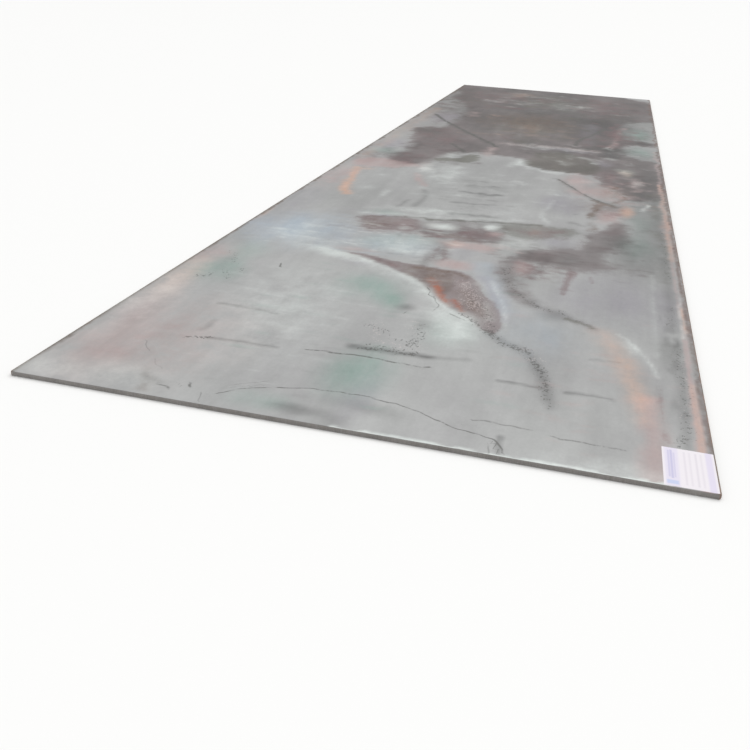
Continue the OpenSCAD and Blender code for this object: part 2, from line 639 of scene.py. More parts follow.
        (44, 0.75, 385, 2775, 470, 2765, 565, 2800, 612, 2860, 605, 2970, 560, 3010, 515, 2960, 500, 2880,
         410, 2850),
        (34, 0.42, 822, 2990, 832, 2925, 880, 2860, 960, 2806, 1080, 2790, 1170, 2810, 1200, 2900,
         1190, 3060, 1120, 3180, 1060, 3280, 900, 3300, 840, 3200, 850, 3080),
    ),
    *strokes(
        Tone.OLIVE,
        (22, 10, 16, 0.6, 1165, 806, 1205, 785, 1240, 762),
        (14, 16, 18, 0.5, 352, 1590, 420, 1628, 520, 1655, 640, 1680),
        (22, 20, 20, 0.5, 600, 1662, 680, 1690, 770, 1702, 860, 1735, 950, 1758, 1015, 1750),
        (10, 20, 12, 0.6, 4, -20, 4, 6020), (30, 60, 60, 0.2, 1448, 1250, 1446, 1900, 1446, 2500),
    ),
    *clouds(
        Tone.OLIVE,
        (806, 935, 34, 90, 0.6, -8), (690, 1035, 140, 80, 0.26, -35), (960, 3150, 160, 220, 0.3),
        (780, 3950, 330, 620, 0.28), (620, 4240, 170, 130, 0.25), (760, 5300, 420, 560, 0.35),
    ),
    # The long sweeping stain, and the reddest parts of the dull ground.
    *blots(
        Tone.MAUVE,
        (13, 0.58, 392, 1160, 450, 1152, 500, 1142, 580, 1124, 640, 1112, 700, 1103, 790, 1095, 842, 1074,
         882, 1032, 900, 985, 913, 935, 942, 882, 965, 835, 980, 780, 992, 730, 1006, 690, 1000, 640,
         986, 604, 950, 648, 920, 688, 886, 730, 858, 760, 822, 790, 797, 830, 772, 878, 748, 918, 727, 948,
         698, 978, 648, 1010, 608, 1043, 568, 1068, 520, 1098, 470, 1123),
        (46, 0.55, 350, 1560, 358, 1605, 420, 1635, 500, 1655, 560, 1655, 590, 1600, 600, 1530, 585, 1470,
         545, 1440, 440, 1428, 392, 1438, 384, 1500),
        (34, 0.34, 690, 1520, 800, 1560, 890, 1540, 880, 1440, 800, 1425, 700, 1430),
        (50, 0.28, 760, 1600, 820, 1640, 890, 1600, 880, 1500, 780, 1500),
    ),
    *strokes(
        Tone.MAUVE,
        (4, 5, 14, 0.4, 1398, 480, 1402, 300, 1408, 170),
        (10, 16, 20, 0.35, 700, 1340, 705, 1270, 712, 1200),
        (10, 20, 20, 0.35, 730, 1320, 736, 1260, 745, 1190),
        (16, 26, 18, 0.45, 455, 1140, 520, 1120, 600, 1085, 625, 1062),
        (24, 2, 22, 0.7, 1156, 1215, 1150, 1120, 1142, 1005), (8, 5, 12, 0.4, 1216, 1200, 1221, 1140),
        (40, 24, 44, 0.4, 1250, 4400, 1235, 4250, 1250, 4050, 1290, 3880),
        (20, 14, 30, 0.3, 1215, 4150, 1235, 3950), (10, 18, 9, 0.35, 1494, -20, 1491, 900, 1492, 6020),
    ),
    *clouds(
        Tone.MAUVE,
        (1060, 1190, 110, 130, 0.22), (1020, 1660, 150, 110, 0.45), (1265, 2120, 130, 250, 0.3),
        (270, 2760, 110, 230, 0.4), (300, 3450, 260, 500, 0.28), (1240, 2760, 80, 260, 0.25),
        (640, 3620, 140, 240, 0.2), (1180, 5250, 340, 760, 0.35), (330, 5350, 300, 500, 0.3, 12),
    ),
    # Brown in the stain, along the edges and in the dull ground.
    *blots(
        Tone.UMBER,
        (34, 0.3, 640, 1088, 700, 1090, 785, 1068, 812, 1000, 822, 930, 815, 850, 780, 868, 745, 918,
         700, 972, 650, 1012),
        (400, 0.08, -60, 3300, 320, 3300, 330, 6100, -60, 6100),
    ),
    *strokes(
        Tone.UMBER,
        (14, 20, 30, 0.26, 270, 118, 300, 66, 312, 20),
        (28, 18, 20, 0.5, 690, 1084, 760, 1080, 825, 1062, 850, 1035),
        (50, 40, 60, 0.34, 860, 900, 900, 820, 935, 740),
        (40, 30, 40, 0.3, 700, 1480, 760, 1470, 800, 1460),
        (26, 20, 22, 0.6, 1195, 2270, 1240, 2225, 1285, 2205),
        (40, 18, 30, 0.55, 1225, 2215, 1205, 2140, 1195, 2060, 1185, 1960),
        (14, 18, 26, 0.4, 1262, 2230, 1300, 2310, 1320, 2370, 1300, 2400),
        (24, 14, 22, 0.7, 1285, 2590, 1272, 2540), (22, 30, 30, 0.35, 1190, 1880, 1215, 1800, 1200, 1780),
        (14, 22, 12, 0.5, 3, -20, 3, 6020), (10, 20, 9, 0.45, 1494, -20, 1491, 900, 1492, 6020),
    ),
    *clouds(
        Tone.UMBER,
        (775, 1020, 70, 80, 0.42, -20), (420, 1530, 110, 130, 0.3, -20), (1260, 2480, 110, 190, 0.2),
        (720, 4300, 460, 560, 0.5), (1280, 2420, 110, 200, 0.2), (1200, 2150, 150, 200, 0.22),
    ),
    # The few spots of fresh rust.
    *strokes(
        Tone.RUST,
        (20, 14, 22, 0.8, 782, 925, 800, 868, 828, 806), (16, 12, 20, 0.7, 846, 830, 866, 796, 886, 756),
        (30, 16, 34, 0.32, 755, 990, 775, 940, 790, 905),
        (10, 10, 24, 0.15, 108, 2400, 122, 2290, 134, 2210), (5, 6, 20, 0.16, 1478, 1750, 1477, 2150),
    ),
    # Pale rims, streaks and patches of smooth scale, and a painted highlight along the near arris.
    *blots(Tone.BLOOM, (60, 0.25, 402, 2880, 420, 3010, 468, 3030, 488, 2930, 450, 2870)),
    *strokes(
        Tone.BLOOM,
        (5, 3, 22, 0.45, 1305, 740, 1345, 680, 1372, 610, 1394, 540, 1399, 500),
        (30, 20, 50, 0.2, 885, 1010, 918, 900, 948, 790, 968, 720),
        (16, 10, 40, 0.26, 850, 980, 858, 910, 872, 820),
        (3, 1, 34, 0.56, 930, 1040, 965, 920, 996, 800, 1012, 690),
        (4, 4, 40, 0.6, 320, 1160, 420, 1138, 510, 1086, 600, 1034, 660, 985, 730, 922, 768, 862, 800, 808,
         856, 744, 920, 676),
        (20, 20, 110, 0.4, 350, 1140, 450, 1105, 550, 1045, 650, 975, 740, 890, 800, 800),
        (8, 8, 60, 0.4, 350, 1655, 480, 1690, 620, 1705, 760, 1738, 870, 1775, 960, 1800),
        (8, 10, 40, 0.3, 1035, 1800, 1000, 1900, 1005, 2050, 1040, 2200),
        (20, 8, 80, 0.5, 800, 3000, 812, 2900, 870, 2820, 960, 2770, 1060, 2750),
        (14, 12, 26, 0.4, 1385, 2160, 1400, 2220, 1416, 2290), (20, 26, 50, 0.1, 625, 3200, 618, 3060),
        (30, 24, 60, 0.06, 560, 4150, 580, 3850, 600, 3550),
        (34, 24, 60, 0.06, 690, 4080, 700, 3850, 720, 3620),
        (24, 20, 50, 0.06, 790, 4200, 800, 4000, 830, 3900),
        (4, 6, 24, 0.16, 1402, 620, 1402, 1000, 1404, 1300), (4, 4, 9, 0.4, 1474, 780, 1477, 1120),
        # Painted highlight, partly wear: the thin bright line along the near top arris, from 740 to 1410
        # across, stands for light caught on the worn arris.
        (6, 8, 5, 0.9, 740, 1, 1000, 1, 1410, 1),
    ),
    *clouds(
        Tone.BLOOM,
        (60, 560, 130, 480, 0.25, 4), (230, 70, 150, 120, 0.3), (420, 560, 240, 520, 0.22, 4),
        (60, 60, 160, 120, 0.3), (1345, 650, 34, 80, 0.2, 28), (1300, 20, 220, 60, 0.25),
        (205, 1340, 90, 200, 0.2), (300, 1200, 110, 130, 0.25), (590, 1290, 170, 150, 0.28),
        (600, 1300, 110, 120, 0.25), (930, 1450, 110, 130, 0.15), (670, 1040, 80, 36, 0.14, -40),
        (410, 1120, 170, 60, 0.6, -22), (700, 960, 90, 30, 0.5, -48), (885, 630, 100, 190, 0.6, 6),
        (835, 720, 90, 90, 0.4), (665, 1590, 90, 76, 0.85), (842, 1655, 54, 74, 0.75),
        (960, 1490, 80, 90, 0.3), (345, 2000, 34, 120, 0.25), (405, 2570, 70, 160, 0.55, 8),
        (520, 2500, 120, 330, 0.35), (560, 1780, 260, 70, 0.45, 10), (880, 1900, 120, 200, 0.14),
        (795, 2890, 60, 170, 0.28, -24), (1030, 3030, 60, 90, 0.16), (1165, 3110, 50, 90, 0.35),
        (1315, 2950, 50, 120, 0.18), (1370, 2690, 44, 110, 0.22), (900, 3420, 380, 90, 0.2),
        (880, 5150, 160, 340, 0.14, 18),
    ),
    # The scuffed tracks that trail off the stain and the dull ground, and smaller rubs.
    *strokes(
        Tone.SCUFF,
        (12, 16, 16, 0.42, 80, 1005, 115, 970, 140, 905, 150, 890),
        (22, 12, 18, 0.45, 150, 810, 175, 785, 185, 745), (18, 12, 14, 0.45, 190, 850, 205, 825),
        (26, 10, 20, 0.5, 100, 745, 130, 755, 122, 785), (9, 12, 11, 0.8, 270, 316, 300, 326, 332, 331),
        (20, 14, 16, 0.65, 695, 410, 760, 412, 830, 414),
        (16, 12, 16, 0.55, 708, 436, 735, 432, 790, 434, 840, 430),
        (26, 26, 26, 0.38, 670, 560, 700, 550, 728, 525), (30, 34, 28, 0.4, 800, 600, 812, 530, 806, 460),
        (20, 24, 24, 0.34, 735, 500, 800, 480), (40, 30, 34, 0.34, 905, 850, 945, 780, 970, 700, 988, 622),
        (18, 18, 20, 0.55, 890, 735, 925, 690, 960, 645, 985, 612),
        (26, 14, 28, 0.54, 975, 620, 1004, 588, 1030, 564, 1056, 547, 1082, 542, 1092, 508, 1112, 464,
         1132, 428, 1140, 380, 1148, 320, 1168, 250),
        (26, 16, 34, 0.46, 965, 1210, 960, 1110, 988, 1015, 1016, 955, 1048, 912, 1080, 872),
        (24, 8, 30, 0.5, 1078, 874, 1106, 852, 1148, 864, 1152, 838, 1176, 814, 1206, 786, 1244, 752),
        (14, 20, 36, 0.4, 1452, 200, 1462, 420, 1448, 700), (26, 16, 18, 0.42, 1430, 165, 1446, 200),
        (20, 16, 26, 0.4, 1438, 850, 1450, 930, 1455, 1010),
        (14, 16, 22, 0.4, 1456, 1300, 1450, 1600, 1454, 1900),
    ),
    *clouds(
        Tone.SCUFF,
        (1078, 546, 34, 26, 0.3, 20), (1128, 440, 28, 50, 0.35, 12), (1150, 345, 30, 40, 0.3),
    ),
    # Where the scale came off in flecks.
    *strokes(
        Tone.FLECK,
        (50, 40, 50, 0.32, 690, 580, 700, 500, 740, 450, 830, 460), (60, 40, 50, 0.28, 780, 620, 800, 540),
        (50, 50, 60, 0.5, 850, 990, 880, 900, 905, 800),
        (60, 34, 40, 0.3, 905, 880, 925, 810, 950, 740, 975, 660),
        (20, 20, 30, 0.25, 1450, 300, 1458, 480, 1462, 600),
    ),
    *clouds(Tone.FLECK, (1108, 490, 50, 60, 0.35, 30)),
)

# The short smears, patch by patch, from the near end to the far one.
SMEARED: tuple[Dabs, ...] = (
    Dabs(Tone.BLOOM, (420, 560), (380, 420), 60, (60, 12), 0.14, 31),
    Dabs(Tone.DARK_SCALE_AND_SHADE, (500, 500), (450, 450), 60, (60, 10), 0.1, 32),
    Dabs(Tone.TEAL, (650, 560), (420, 450), 40, (50, 14), 0.25, 33),
    Dabs(Tone.ROSE, (1240, 420), (200, 420), 40, (40, 14), 0.2, 34),
    Dabs(Tone.DARK_SCALE_AND_SHADE, (1446, 600), (30, 420), 40, (10, 30), 0.24, 35),
    Dabs(Tone.MAUVE, (560, 1520), (230, 90), 60, (50, 10), 0.42, 9),
    Dabs(Tone.BLOOM, (560, 1480), (260, 100), 40, (50, 10), 0.3, 10),
    Dabs(Tone.DUSK, (860, 1510), (280, 90), 60, (55, 10), 0.36, 11),
    Dabs(Tone.ROSE, (800, 1390), (170, 70), 40, (50, 10), 0.4, 12),
    # A painted reflection of a bluish sky, in short smears.
    Dabs(Tone.PAINTED_SKY_REFLECTION, (250, 1400), (280, 240), 60, (70, 14), 0.35, 13),
    Dabs(Tone.LILAC, (250, 1420), (300, 260), 60, (60, 14), 0.35, 14),
    Dabs(Tone.BLOOM, (420, 1300), (330, 180), 60, (60, 12), 0.24, 15),
    Dabs(Tone.DARK_SCALE_AND_SHADE, (640, 1240), (160, 100), 30, (26, 12), 0.25, 22),
    Dabs(Tone.DUSK, (1130, 1350), (240, 150), 70, (45, 12), 0.36, 16),
    Dabs(Tone.MAUVE, (1050, 1190), (110, 140), 50, (26, 12), 0.34, 17),
    Dabs(Tone.DUSK, (1300, 1700), (110, 200), 40, (40, 16), 0.3, 23),
    Dabs(Tone.DARK_SCALE_AND_SHADE, (720, 2060), (120, 330), 50, (40, 12), 0.25, 18),
    Dabs(Tone.BLOOM, (700, 2300), (450, 400), 60, (60, 24), 0.16, 24),
    Dabs(Tone.DARK_SCALE_AND_SHADE, (1240, 2050), (110, 200), 40, (30, 18), 0.3, 25),
    Dabs(Tone.DUSK, (1310, 2700), (150, 420), 60, (45, 30), 0.4, 7),
    Dabs(Tone.ROSE, (1270, 2480), (170, 320), 40, (45, 26), 0.4, 8),
    Dabs(Tone.DUSK, (330, 3000), (280, 420), 60, (60, 36), 0.36, 1),
    Dabs(Tone.DARK_SCALE_AND_SHADE, (1100, 3450), (330, 260), 70, (55, 34), 0.36, 2),
    Dabs(Tone.BLOOM, (1120, 3330), (320, 260), 50, (50, 30), 0.17, 3),
    Dabs(Tone.MAUVE, (1270, 4050), (170, 420), 60, (40, 40), 0.42, 4),
    Dabs(Tone.OLIVE, (700, 4000), (440, 450), 70, (70, 44), 0.34, 5),
    Dabs(Tone.PEACH, (700, 4000), (440, 450), 40, (60, 40), 0.15, 6),
    Dabs(Tone.MAUVE, (750, 5250), (750, 650), 90, (90, 60), 0.3, 19),
    Dabs(Tone.OLIVE, (750, 5250), (750, 650), 70, (100, 60), 0.32, 20),
    Dabs(Tone.BLOOM, (700, 5250), (700, 650), 50, (80, 50), 0.14, 21),
)

ALL_MARKS = PLACED + tuple(smear for patch in SMEARED for smear in patch.smears())

# The scratches, each with its width, its strength and its path.
SCRATCHES: tuple[Scratch, ...] = tuple(
    Scratch(paired(row[2:]), *row[:2])
    for row in (
        (4, 0.75, 468, 62, 500, 86, 540, 110, 580, 130, 622, 146, 690, 157, 760, 156, 830, 144, 880, 131,
         920, 113, 965, 94, 1005, 79, 1050, 66, 1078, 56, 1090, 15),
        (3, 0.35, 478, 104, 510, 122, 548, 150), (7, 0.8, 568, 352, 640, 355, 720, 357, 800, 355, 875, 355),
        (5, 0.5, 1015, 132, 1070, 128, 1135, 125), (6, 0.65, 1180, 116, 1240, 109, 1325, 110),
        (3, 0.35, 192, 256, 205, 232, 228, 208), (3, 0.2, 262, 165, 280, 145, 302, 132),
        (6, 0.85, 281, 945, 290, 915), (7, 0.8, 394, 82, 400, 70), (6, 0.6, 336, 52, 360, 42),
        (3, 0.4, 437, 48, 448, 12), (4, 0.7, 756, 905, 772, 880, 768, 852, 788, 832),
        (4, 0.6, 790, 842, 800, 800, 818, 768, 808, 722), (5, 0.7, 862, 722, 880, 705, 902, 690),
        (4, 0.5, 742, 690, 735, 672), (3, 0.4, 1060, 40, 1066, 5),
        (11, 0.7, 1012, 2630, 1048, 2562, 1095, 2470, 1140, 2370, 1192, 2282, 1270, 2212),
        (24, 1.0, 108, 4270, 200, 4050, 300, 3880, 400, 3700, 500, 3540, 600, 3380, 640, 3290),
        (20, 0.9, 395, 3260, 460, 3150, 508, 3050),
        (24, 1.0, 1190, 4240, 1130, 4010, 1070, 3810, 1048, 3700, 1042, 3570),
        (12, 0.3, 1155, 3690, 1148, 3580),
    )
)


@dataclass(frozen=True)
class MarkMap:
    """Works out the masks of the tones and the scratches.

    Attributes:
        marks: every mark on the plate's top.
        scratches: every scratch on it.
        wobble_mm: how far the outlines wander.
        waves: how many waves the wander is made of.
        longest_mm: the longest of those waves.
        shorter: each wave's length as a share of the one before.
        fading: the power by which a shorter wave is also a lower one.
        drawn: how much more the outlines wander along the plate than across it.
        growth: how much more they wander for each metre beyond the first.
        grown: the metres after which that stops.
        reach_mm: how far from a scratch its mask reaches.
        end_mm: the distance over which a scratch fades past its ends.
        seed: the wander's seed.
    """

    marks: tuple[Mark, ...] = ALL_MARKS
    scratches: tuple[Scratch, ...] = SCRATCHES
    wobble_mm: float = 7.0
    waves: int = 14
    longest_mm: float = 260.0
    shorter: float = 0.82
    fading: float = 0.3
    drawn: float = 1.6
    growth: float = 1.8
    grown: float = 3.0
    reach_mm: float = 26.0
    end_mm: float = 10.0
    seed: int = 3

    def wobbled(self, places: np.ndarray, growth: float) -> np.ndarray:
        """Moves each place a little, so that what is drawn there gets an uneven outline.

        Args:
            places: the places, one row each.
            growth: how much more they move for each metre beyond the first.

        Returns:
            The moved places.
        """
        dice = np.random.default_rng(self.seed)
        moved = places.astype(float).copy()
        grown = 1 + growth * np.clip(places[:, 1:] * MM - 1, 0, self.grown)
        for turn in range(self.waves):
            length = self.longest_mm * self.shorter**turn
            heading, push, start = dice.uniform(0, math.tau, 3)
            phase = (places @ [math.cos(heading), math.sin(heading)]) * math.tau / length + start
            size = self.wobble_mm * 2 / self.waves * (length / self.longest_mm) ** self.fading
            moved += grown * size * np.sin(phase)[:, None] * [math.cos(push), self.drawn * math.sin(push)]
        return moved

    def masks(self, places: np.ndarray) -> dict[str, np.ndarray]:
        """Gives every mask.

        Args:
            places: places on the plate's top in millimetres from its near left corner.

        Returns:
            For each mask's name, one value a place.
        """
        scores = self.scores(self.wobbled(places, growth=0.0))
        places = self.wobbled(places, self.growth)
        made = {tone.value: np.zeros(len(places)) for tone in Tone}
        for mark in self.marks:
            low, high = mark.reach()
            near = ((places >= low) & (places <= high)).all(1)
            if near.any():
                layer = made[mark.tone.value]
                layer[near] = 1 - (1 - layer[near]) * (1 - mark.mask(places[near]))
        return made | scores

    def scores(self, places: np.ndarray) -> dict[str, np.ndarray]:
        """Gives the scratches' masks.

        Args:
            places: the places, one row each.

        Returns:
            The side and distance in half widths, and how much of the scratch there is.
        """
        gap, near = np.full(len(places), FARTHEST), np.zeros(len(places))
        closest = np.full(len(places), np.inf)
        for scratch in self.scratches:
            line = rounded(scratch.path, closed=False)
            margin = self.reach_mm + scratch.width
            low, high = line.min(0) - margin, line.max(0) + margin
            at = np.flatnonzero(((places >= low) & (places <= high)).all(1))
            found = nearest_on_line(places[at], line)
            pick = found.gap < closest[at]
            at = at[pick]
            closest[at] = found.gap[pick]
            aside = found.side[pick] * found.gap[pick] * 2 / scratch.width
            gap[at] = np.clip(aside, -FARTHEST, FARTHEST)
            reach = ease(2 - found.gap[pick] / margin * 2) * ease(1 - found.past[pick] / self.end_mm)
            near[at] = scratch.strength * reach
        return {SCORE_GAP: gap, SCORE_NEAR: near}


# ---- Finishes ----


def middle(half: float) -> dict[str, float]:
    """Gives the inputs with which a Map Range node stretches the middle of a noise to 0 to 1."""
    return {"From_Min": 0.5 - half, "From_Max": 0.5 + half}


# How much of a noise's middle is stretched: the less, the harder the change.
SOFT, MILD, EVEN, FIRM, HARD = map(middle, (0.25, 0.2, 0.18, 0.15, 0.12))


class Noise(Enum):
    """The noises that break up the mill scale."""

    CLOUD = "cloud"
    BAND = "band"
    SWIRL = "swirl"
    DRIFT = "drift"
    STREAK = "streak"
    RIM = "rim"
    MOTTLE = "mottle"
    GRAIN = "grain"
    PEPPER = "pepper"


@dataclass(frozen=True)
class RolledNoise:
    """A noise that rolling has drawn out along the plate.

    Attributes:
        size_mm: the size of its features across the plate.
        stretch: how many times longer they are along it.
        detail: how many finer levels it has.
        rough: how strong the finer levels are.
        shade: how much it lightens and darkens the scale and its stains.
    """

    size_mm: float
    stretch: float
    detail: float
    rough: float
    shade: float = 0.0

    def pattern(self, tree: bpy.types.NodeTree, place: Socket) -> Socket:
        """Adds the noise.

        Args:
            tree: the material's tree.
            place: the Object coordinates.

        Returns:
            Its value, centred on a half.
        """
        drawn = add_node(tree, "ShaderNodeMapping", Vector=place, Scale=(1.0, 1 / self.stretch, 1.0))
        return add_node(tree, "ShaderNodeTexNoise", Vector=drawn, Scale=per_metre(self.size_mm),
                        Detail=self.detail, Roughness=self.rough)


@dataclass(frozen=True)
class StainLook:
    """How one tone changes the scale under it.

    Attributes:
        tone: the tone whose mask drives it.
        thin: the stain's colour where it lies thin.
        thick: its colour where it lies thick.
        ragged: how much its rim is broken up.
        whole: the mask at which the stain is past its rim.
        breaks: the noise that breaks its rim.
        body: the noise that makes it thin or thick.
    """

    tone: Tone
    thin: str
    thick: str
    ragged: float
    whole: float = 1.0
    breaks: Noise = Noise.DRIFT
    body: Noise = Noise.DRIFT


@dataclass(frozen=True)
class SpeckleLook:
    """How a speckled tone changes the scale under it.

    Attributes:
        tone: the tone whose mask gives the share of the surface that the specks cover.
        colour: the specks' colour.
        grain: the noise whose peaks are the specks, each about half as wide as its features.
        most: how much of the scale's own colour a speck hides.
    """

    tone: Tone
    colour: str
    grain: RolledNoise
    most: float


@dataclass(frozen=True)
class MillScaleFinish:
    """Hot-rolled steel with its mill scale: a thin, hard, blue-grey iron oxide.

    It gives the eye a dull satin grey that clouds from place to place, with temper colours, faint
    streaks along the rolling direction, and a fine tooth. The real tooth is finer than 0.1 mm, and it
    is drawn as coarse as it needs to show.

    Attributes:
        name: the material's name.
        fresh: the bare scale's colour in its lighter patches.
        dull: its colour in the others.
        metallic: how much it reflects as a metal.
        roughness: the least and the most of it, from patch to patch.
        scuff_roughness: what a scuff adds to it.
        noises: the noises that the whole finish shares.
        tooth: the noise of the scale's tooth.
        tooth_height_mm: how deep the tooth is.
        score_depth: how many times deeper than the tooth a scratch is cut.
        stains: the stains, in the order in which they lie over each other; among them are painted shade, a
            painted sky reflection and a painted highlight.
        stain_streaks: how much a stain's strength varies with its body noise.
        speckles: the speckled tones, which lie over the stains.
        speck_edge: how softly a speck fades out.
        score: the colour of a scratch.
        score_most: how much of the scale's own colour a scratch hides.
        score_edge: where a scratch starts to fade and where it is gone, in half widths.
        score_breaks: the grain's value where a scratch is broken off, and where it is whole.
    """

    name: str = "mill_scale_steel"
    fresh: str = "#abacab"
    dull: str = "#a2a2a2"
    metallic: float = 0.3
    roughness: Point = (0.5, 0.62)
    scuff_roughness: float = 0.2
    noises: tuple[tuple[Noise, RolledNoise], ...] = (
        (Noise.CLOUD, RolledNoise(300, 1.6, 4, 0.55)),
        (Noise.BAND, RolledNoise(170, 9, 3, 0.5, 0.06)),
        (Noise.SWIRL, RolledNoise(240, 1.5, 7, 0.6)),
        (Noise.DRIFT, RolledNoise(110, 3, 6, 0.65, 0.03)),
        (Noise.STREAK, RolledNoise(60, 18, 5, 0.6, 0.06)),
        (Noise.RIM, RolledNoise(90, 1.2, 8, 0.72, 0.03)),
        (Noise.MOTTLE, RolledNoise(34, 2.5, 6, 0.62, 0.04)),
        (Noise.GRAIN, RolledNoise(26, 1.3, 8, 0.7, 0.04)),
        (Noise.PEPPER, RolledNoise(7, 1.4, 3, 0.6, 0.03)),
    )
    tooth: RolledNoise = RolledNoise(3.0, 1.5, 2, 0.5)
    tooth_height_mm: float = 0.025
    score_depth: float = 1.5
    stains: tuple[StainLook, ...] = (
        StainLook(Tone.DUSK, "#573f40", "#473938", 0.42, 0.6, Noise.RIM, Noise.SWIRL),
        # Darker scale, and painted shade towards the far end.
        StainLook(Tone.DARK_SCALE_AND_SHADE, "#474847", "#3e3e3c", 0.08, 1.0, Noise.SWIRL),
        StainLook(Tone.LILAC, "#96939a", "#8f8b94", 0.2),
        StainLook(Tone.ROSE, "#af9b99", "#a4908e", 0.35, 0.8, Noise.RIM),
        StainLook(Tone.TEAL, "#86a098", "#7f9990", 0.2),
        # A painted reflection of a bluish sky.
        StainLook(Tone.PAINTED_SKY_REFLECTION, "#a7b0b7", "#9ca6af", 0.2),
        StainLook(Tone.PEACH, "#caa998", "#be9c88", 0.3, 1.0, Noise.RIM),
        StainLook(Tone.OLIVE, "#5c5b50", "#4f4e43", 0.45, 0.5, Noise.RIM, Noise.SWIRL),
        StainLook(Tone.MAUVE, "#6f5859", "#674f50", 0.5, 0.5, Noise.RIM, Noise.MOTTLE),
        StainLook(Tone.UMBER, "#6b5749", "#5a473b", 0.35, 1.0, Noise.GRAIN, Noise.MOTTLE),
        StainLook(Tone.RUST, "#a85c3a", "#934a2c", 0.35, 1.0, Noise.GRAIN, Noise.MOTTLE),
        # Pale scale, and the painted highlight along the near arris.
        StainLook(Tone.BLOOM, "#d4d9d6", "#cad0cd", 0.3, 0.8, Noise.RIM),
    )
    stain_streaks: float = 0.15
    speckles: tuple[SpeckleLook, ...] = (
        SpeckleLook(Tone.FLECK, "#cfc4c1", RolledNoise(5.2, 1.5, 3, 0.6), 0.36),
        SpeckleLook(Tone.SCUFF, "#484845", RolledNoise(6.8, 1.5, 3, 0.6), 0.55),
    )
    speck_edge: float = 0.18
    score: str = "#50504c"
    score_most: float = 0.9
    score_edge: Point = (0.5, 1.5)
    score_breaks: Point = (0.36, 0.52)

    def material(self) -> bpy.types.Material:
        """Builds the material.

        Returns:
            A material that reads Object coordinates and the mesh's masks.
        """
        material, tree = new_material(self.name)
        place = add_node(tree, "ShaderNodeTexCoord", "Object")
        grains = {noise: look.pattern(tree, place) for noise, look in self.noises}
        cloud = grains[Noise.CLOUD]
        patchy = add_node(tree, "ShaderNodeMapRange", Value=cloud, **FIRM)
        colour = add_node(tree, "ShaderNodeMix", data_type="RGBA", Factor_Float=patchy,
                          A_Color=linear(self.fresh), B_Color=linear(self.dull))
        for look in self.stains:
            colour = self.stain(tree, colour, look, grains)
        colour = self.shaded(tree, colour, grains)
        for look in self.speckles:
            colour, rubbed = self.speckle(tree, colour, look, place)
        line = self.scratch_line(tree, grains)
        colour = add_node(tree, "ShaderNodeMix", data_type="RGBA", Factor_Float=line,
                          A_Color=colour, B_Color=linear(self.score))
        rough = add_node(tree, "ShaderNodeMapRange", Value=cloud, **MILD,
                         To_Min=self.roughness[0], To_Max=self.roughness[1])
        rough = add_node(tree, "ShaderNodeMath", operation="MULTIPLY_ADD", Value=rubbed,
                         Value_001=self.scuff_roughness, Value_002=rough)
        shader = add_node(tree, "ShaderNodeBsdfPrincipled", Base_Color=colour, Metallic=self.metallic,
                          Roughness=rough, Normal=self.relief(tree, place, line))
        add_node(tree, "ShaderNodeOutputMaterial", Surface=shader)
        return material

    def shaded(self, tree: bpy.types.NodeTree, colour: Socket, grains: dict[Noise, Socket]) -> Socket:
        """Makes the colour lighter and darker with the noises that carry a shade.

        Args:
            tree: the material's tree.
            colour: the colour of the scale with its stains.
            grains: the shared noises.

        Returns:
            The shaded colour.
        """
        for noise, look in self.noises:
            if look.shade:
                shade = add_node(tree, "ShaderNodeMapRange", Value=grains[noise], **SOFT,
                                 To_Min=1 - look.shade, To_Max=1 + look.shade)
                colour = add_node(tree, "ShaderNodeVectorMath", operation="SCALE", Vector=colour, Scale=shade)
        return colour

    def stain(
        self, tree: bpy.types.NodeTree, colour: Socket, look: StainLook, grains: dict[Noise, Socket]
    ) -> Socket:
        """Lays one stain over the colour.

        A noise breaks the stain up on its rim, where its mask is neither empty nor whole: it is
        scaled by 4 r (1 - r), where r is the mask's share of a whole one.

        Args:
            tree: the material's tree.
            colour: the colour under the stain.
            look: the stain's look.
            grains: the shared noises.

        Returns:
            The stained colour.
        """
        body = grains[look.body]
        mask = add_node(tree, "ShaderNodeAttribute", "Fac", attribute_name=look.tone.value)
        rise = add_node(tree, "ShaderNodeMapRange", Value=mask, From_Min=0.0, From_Max=look.whole)
        rest = add_node(tree, "ShaderNodeMath", operation="SUBTRACT", Value=1.0, Value_001=rise)
        edge = add_node(tree, "ShaderNodeMath", operation="MULTIPLY", Value=rise, Value_001=rest)
        push = add_node(tree, "ShaderNodeMapRange", Value=grains[look.breaks], **MILD,
                        To_Min=-4 * look.ragged, To_Max=4 * look.ragged)
        share = add_node(tree, "ShaderNodeMath", operation="MULTIPLY_ADD", Value=edge, Value_001=push,
                         Value_002=mask)
        drawn = add_node(tree, "ShaderNodeMapRange", Value=body, **MILD,
                         To_Min=1 - self.stain_streaks, To_Max=1 + self.stain_streaks)
        share = add_node(tree, "ShaderNodeMath", operation="MULTIPLY", Value=share, Value_001=drawn)
        thickness = add_node(tree, "ShaderNodeMapRange", Value=body, **HARD)
        own = add_node(tree, "ShaderNodeMix", data_type="RGBA", Factor_Float=thickness,
                       A_Color=linear(look.thin), B_Color=linear(look.thick))
        return add_node(tree, "ShaderNodeMix", data_type="RGBA", Factor_Float=share,
                        A_Color=colour, B_Color=own)

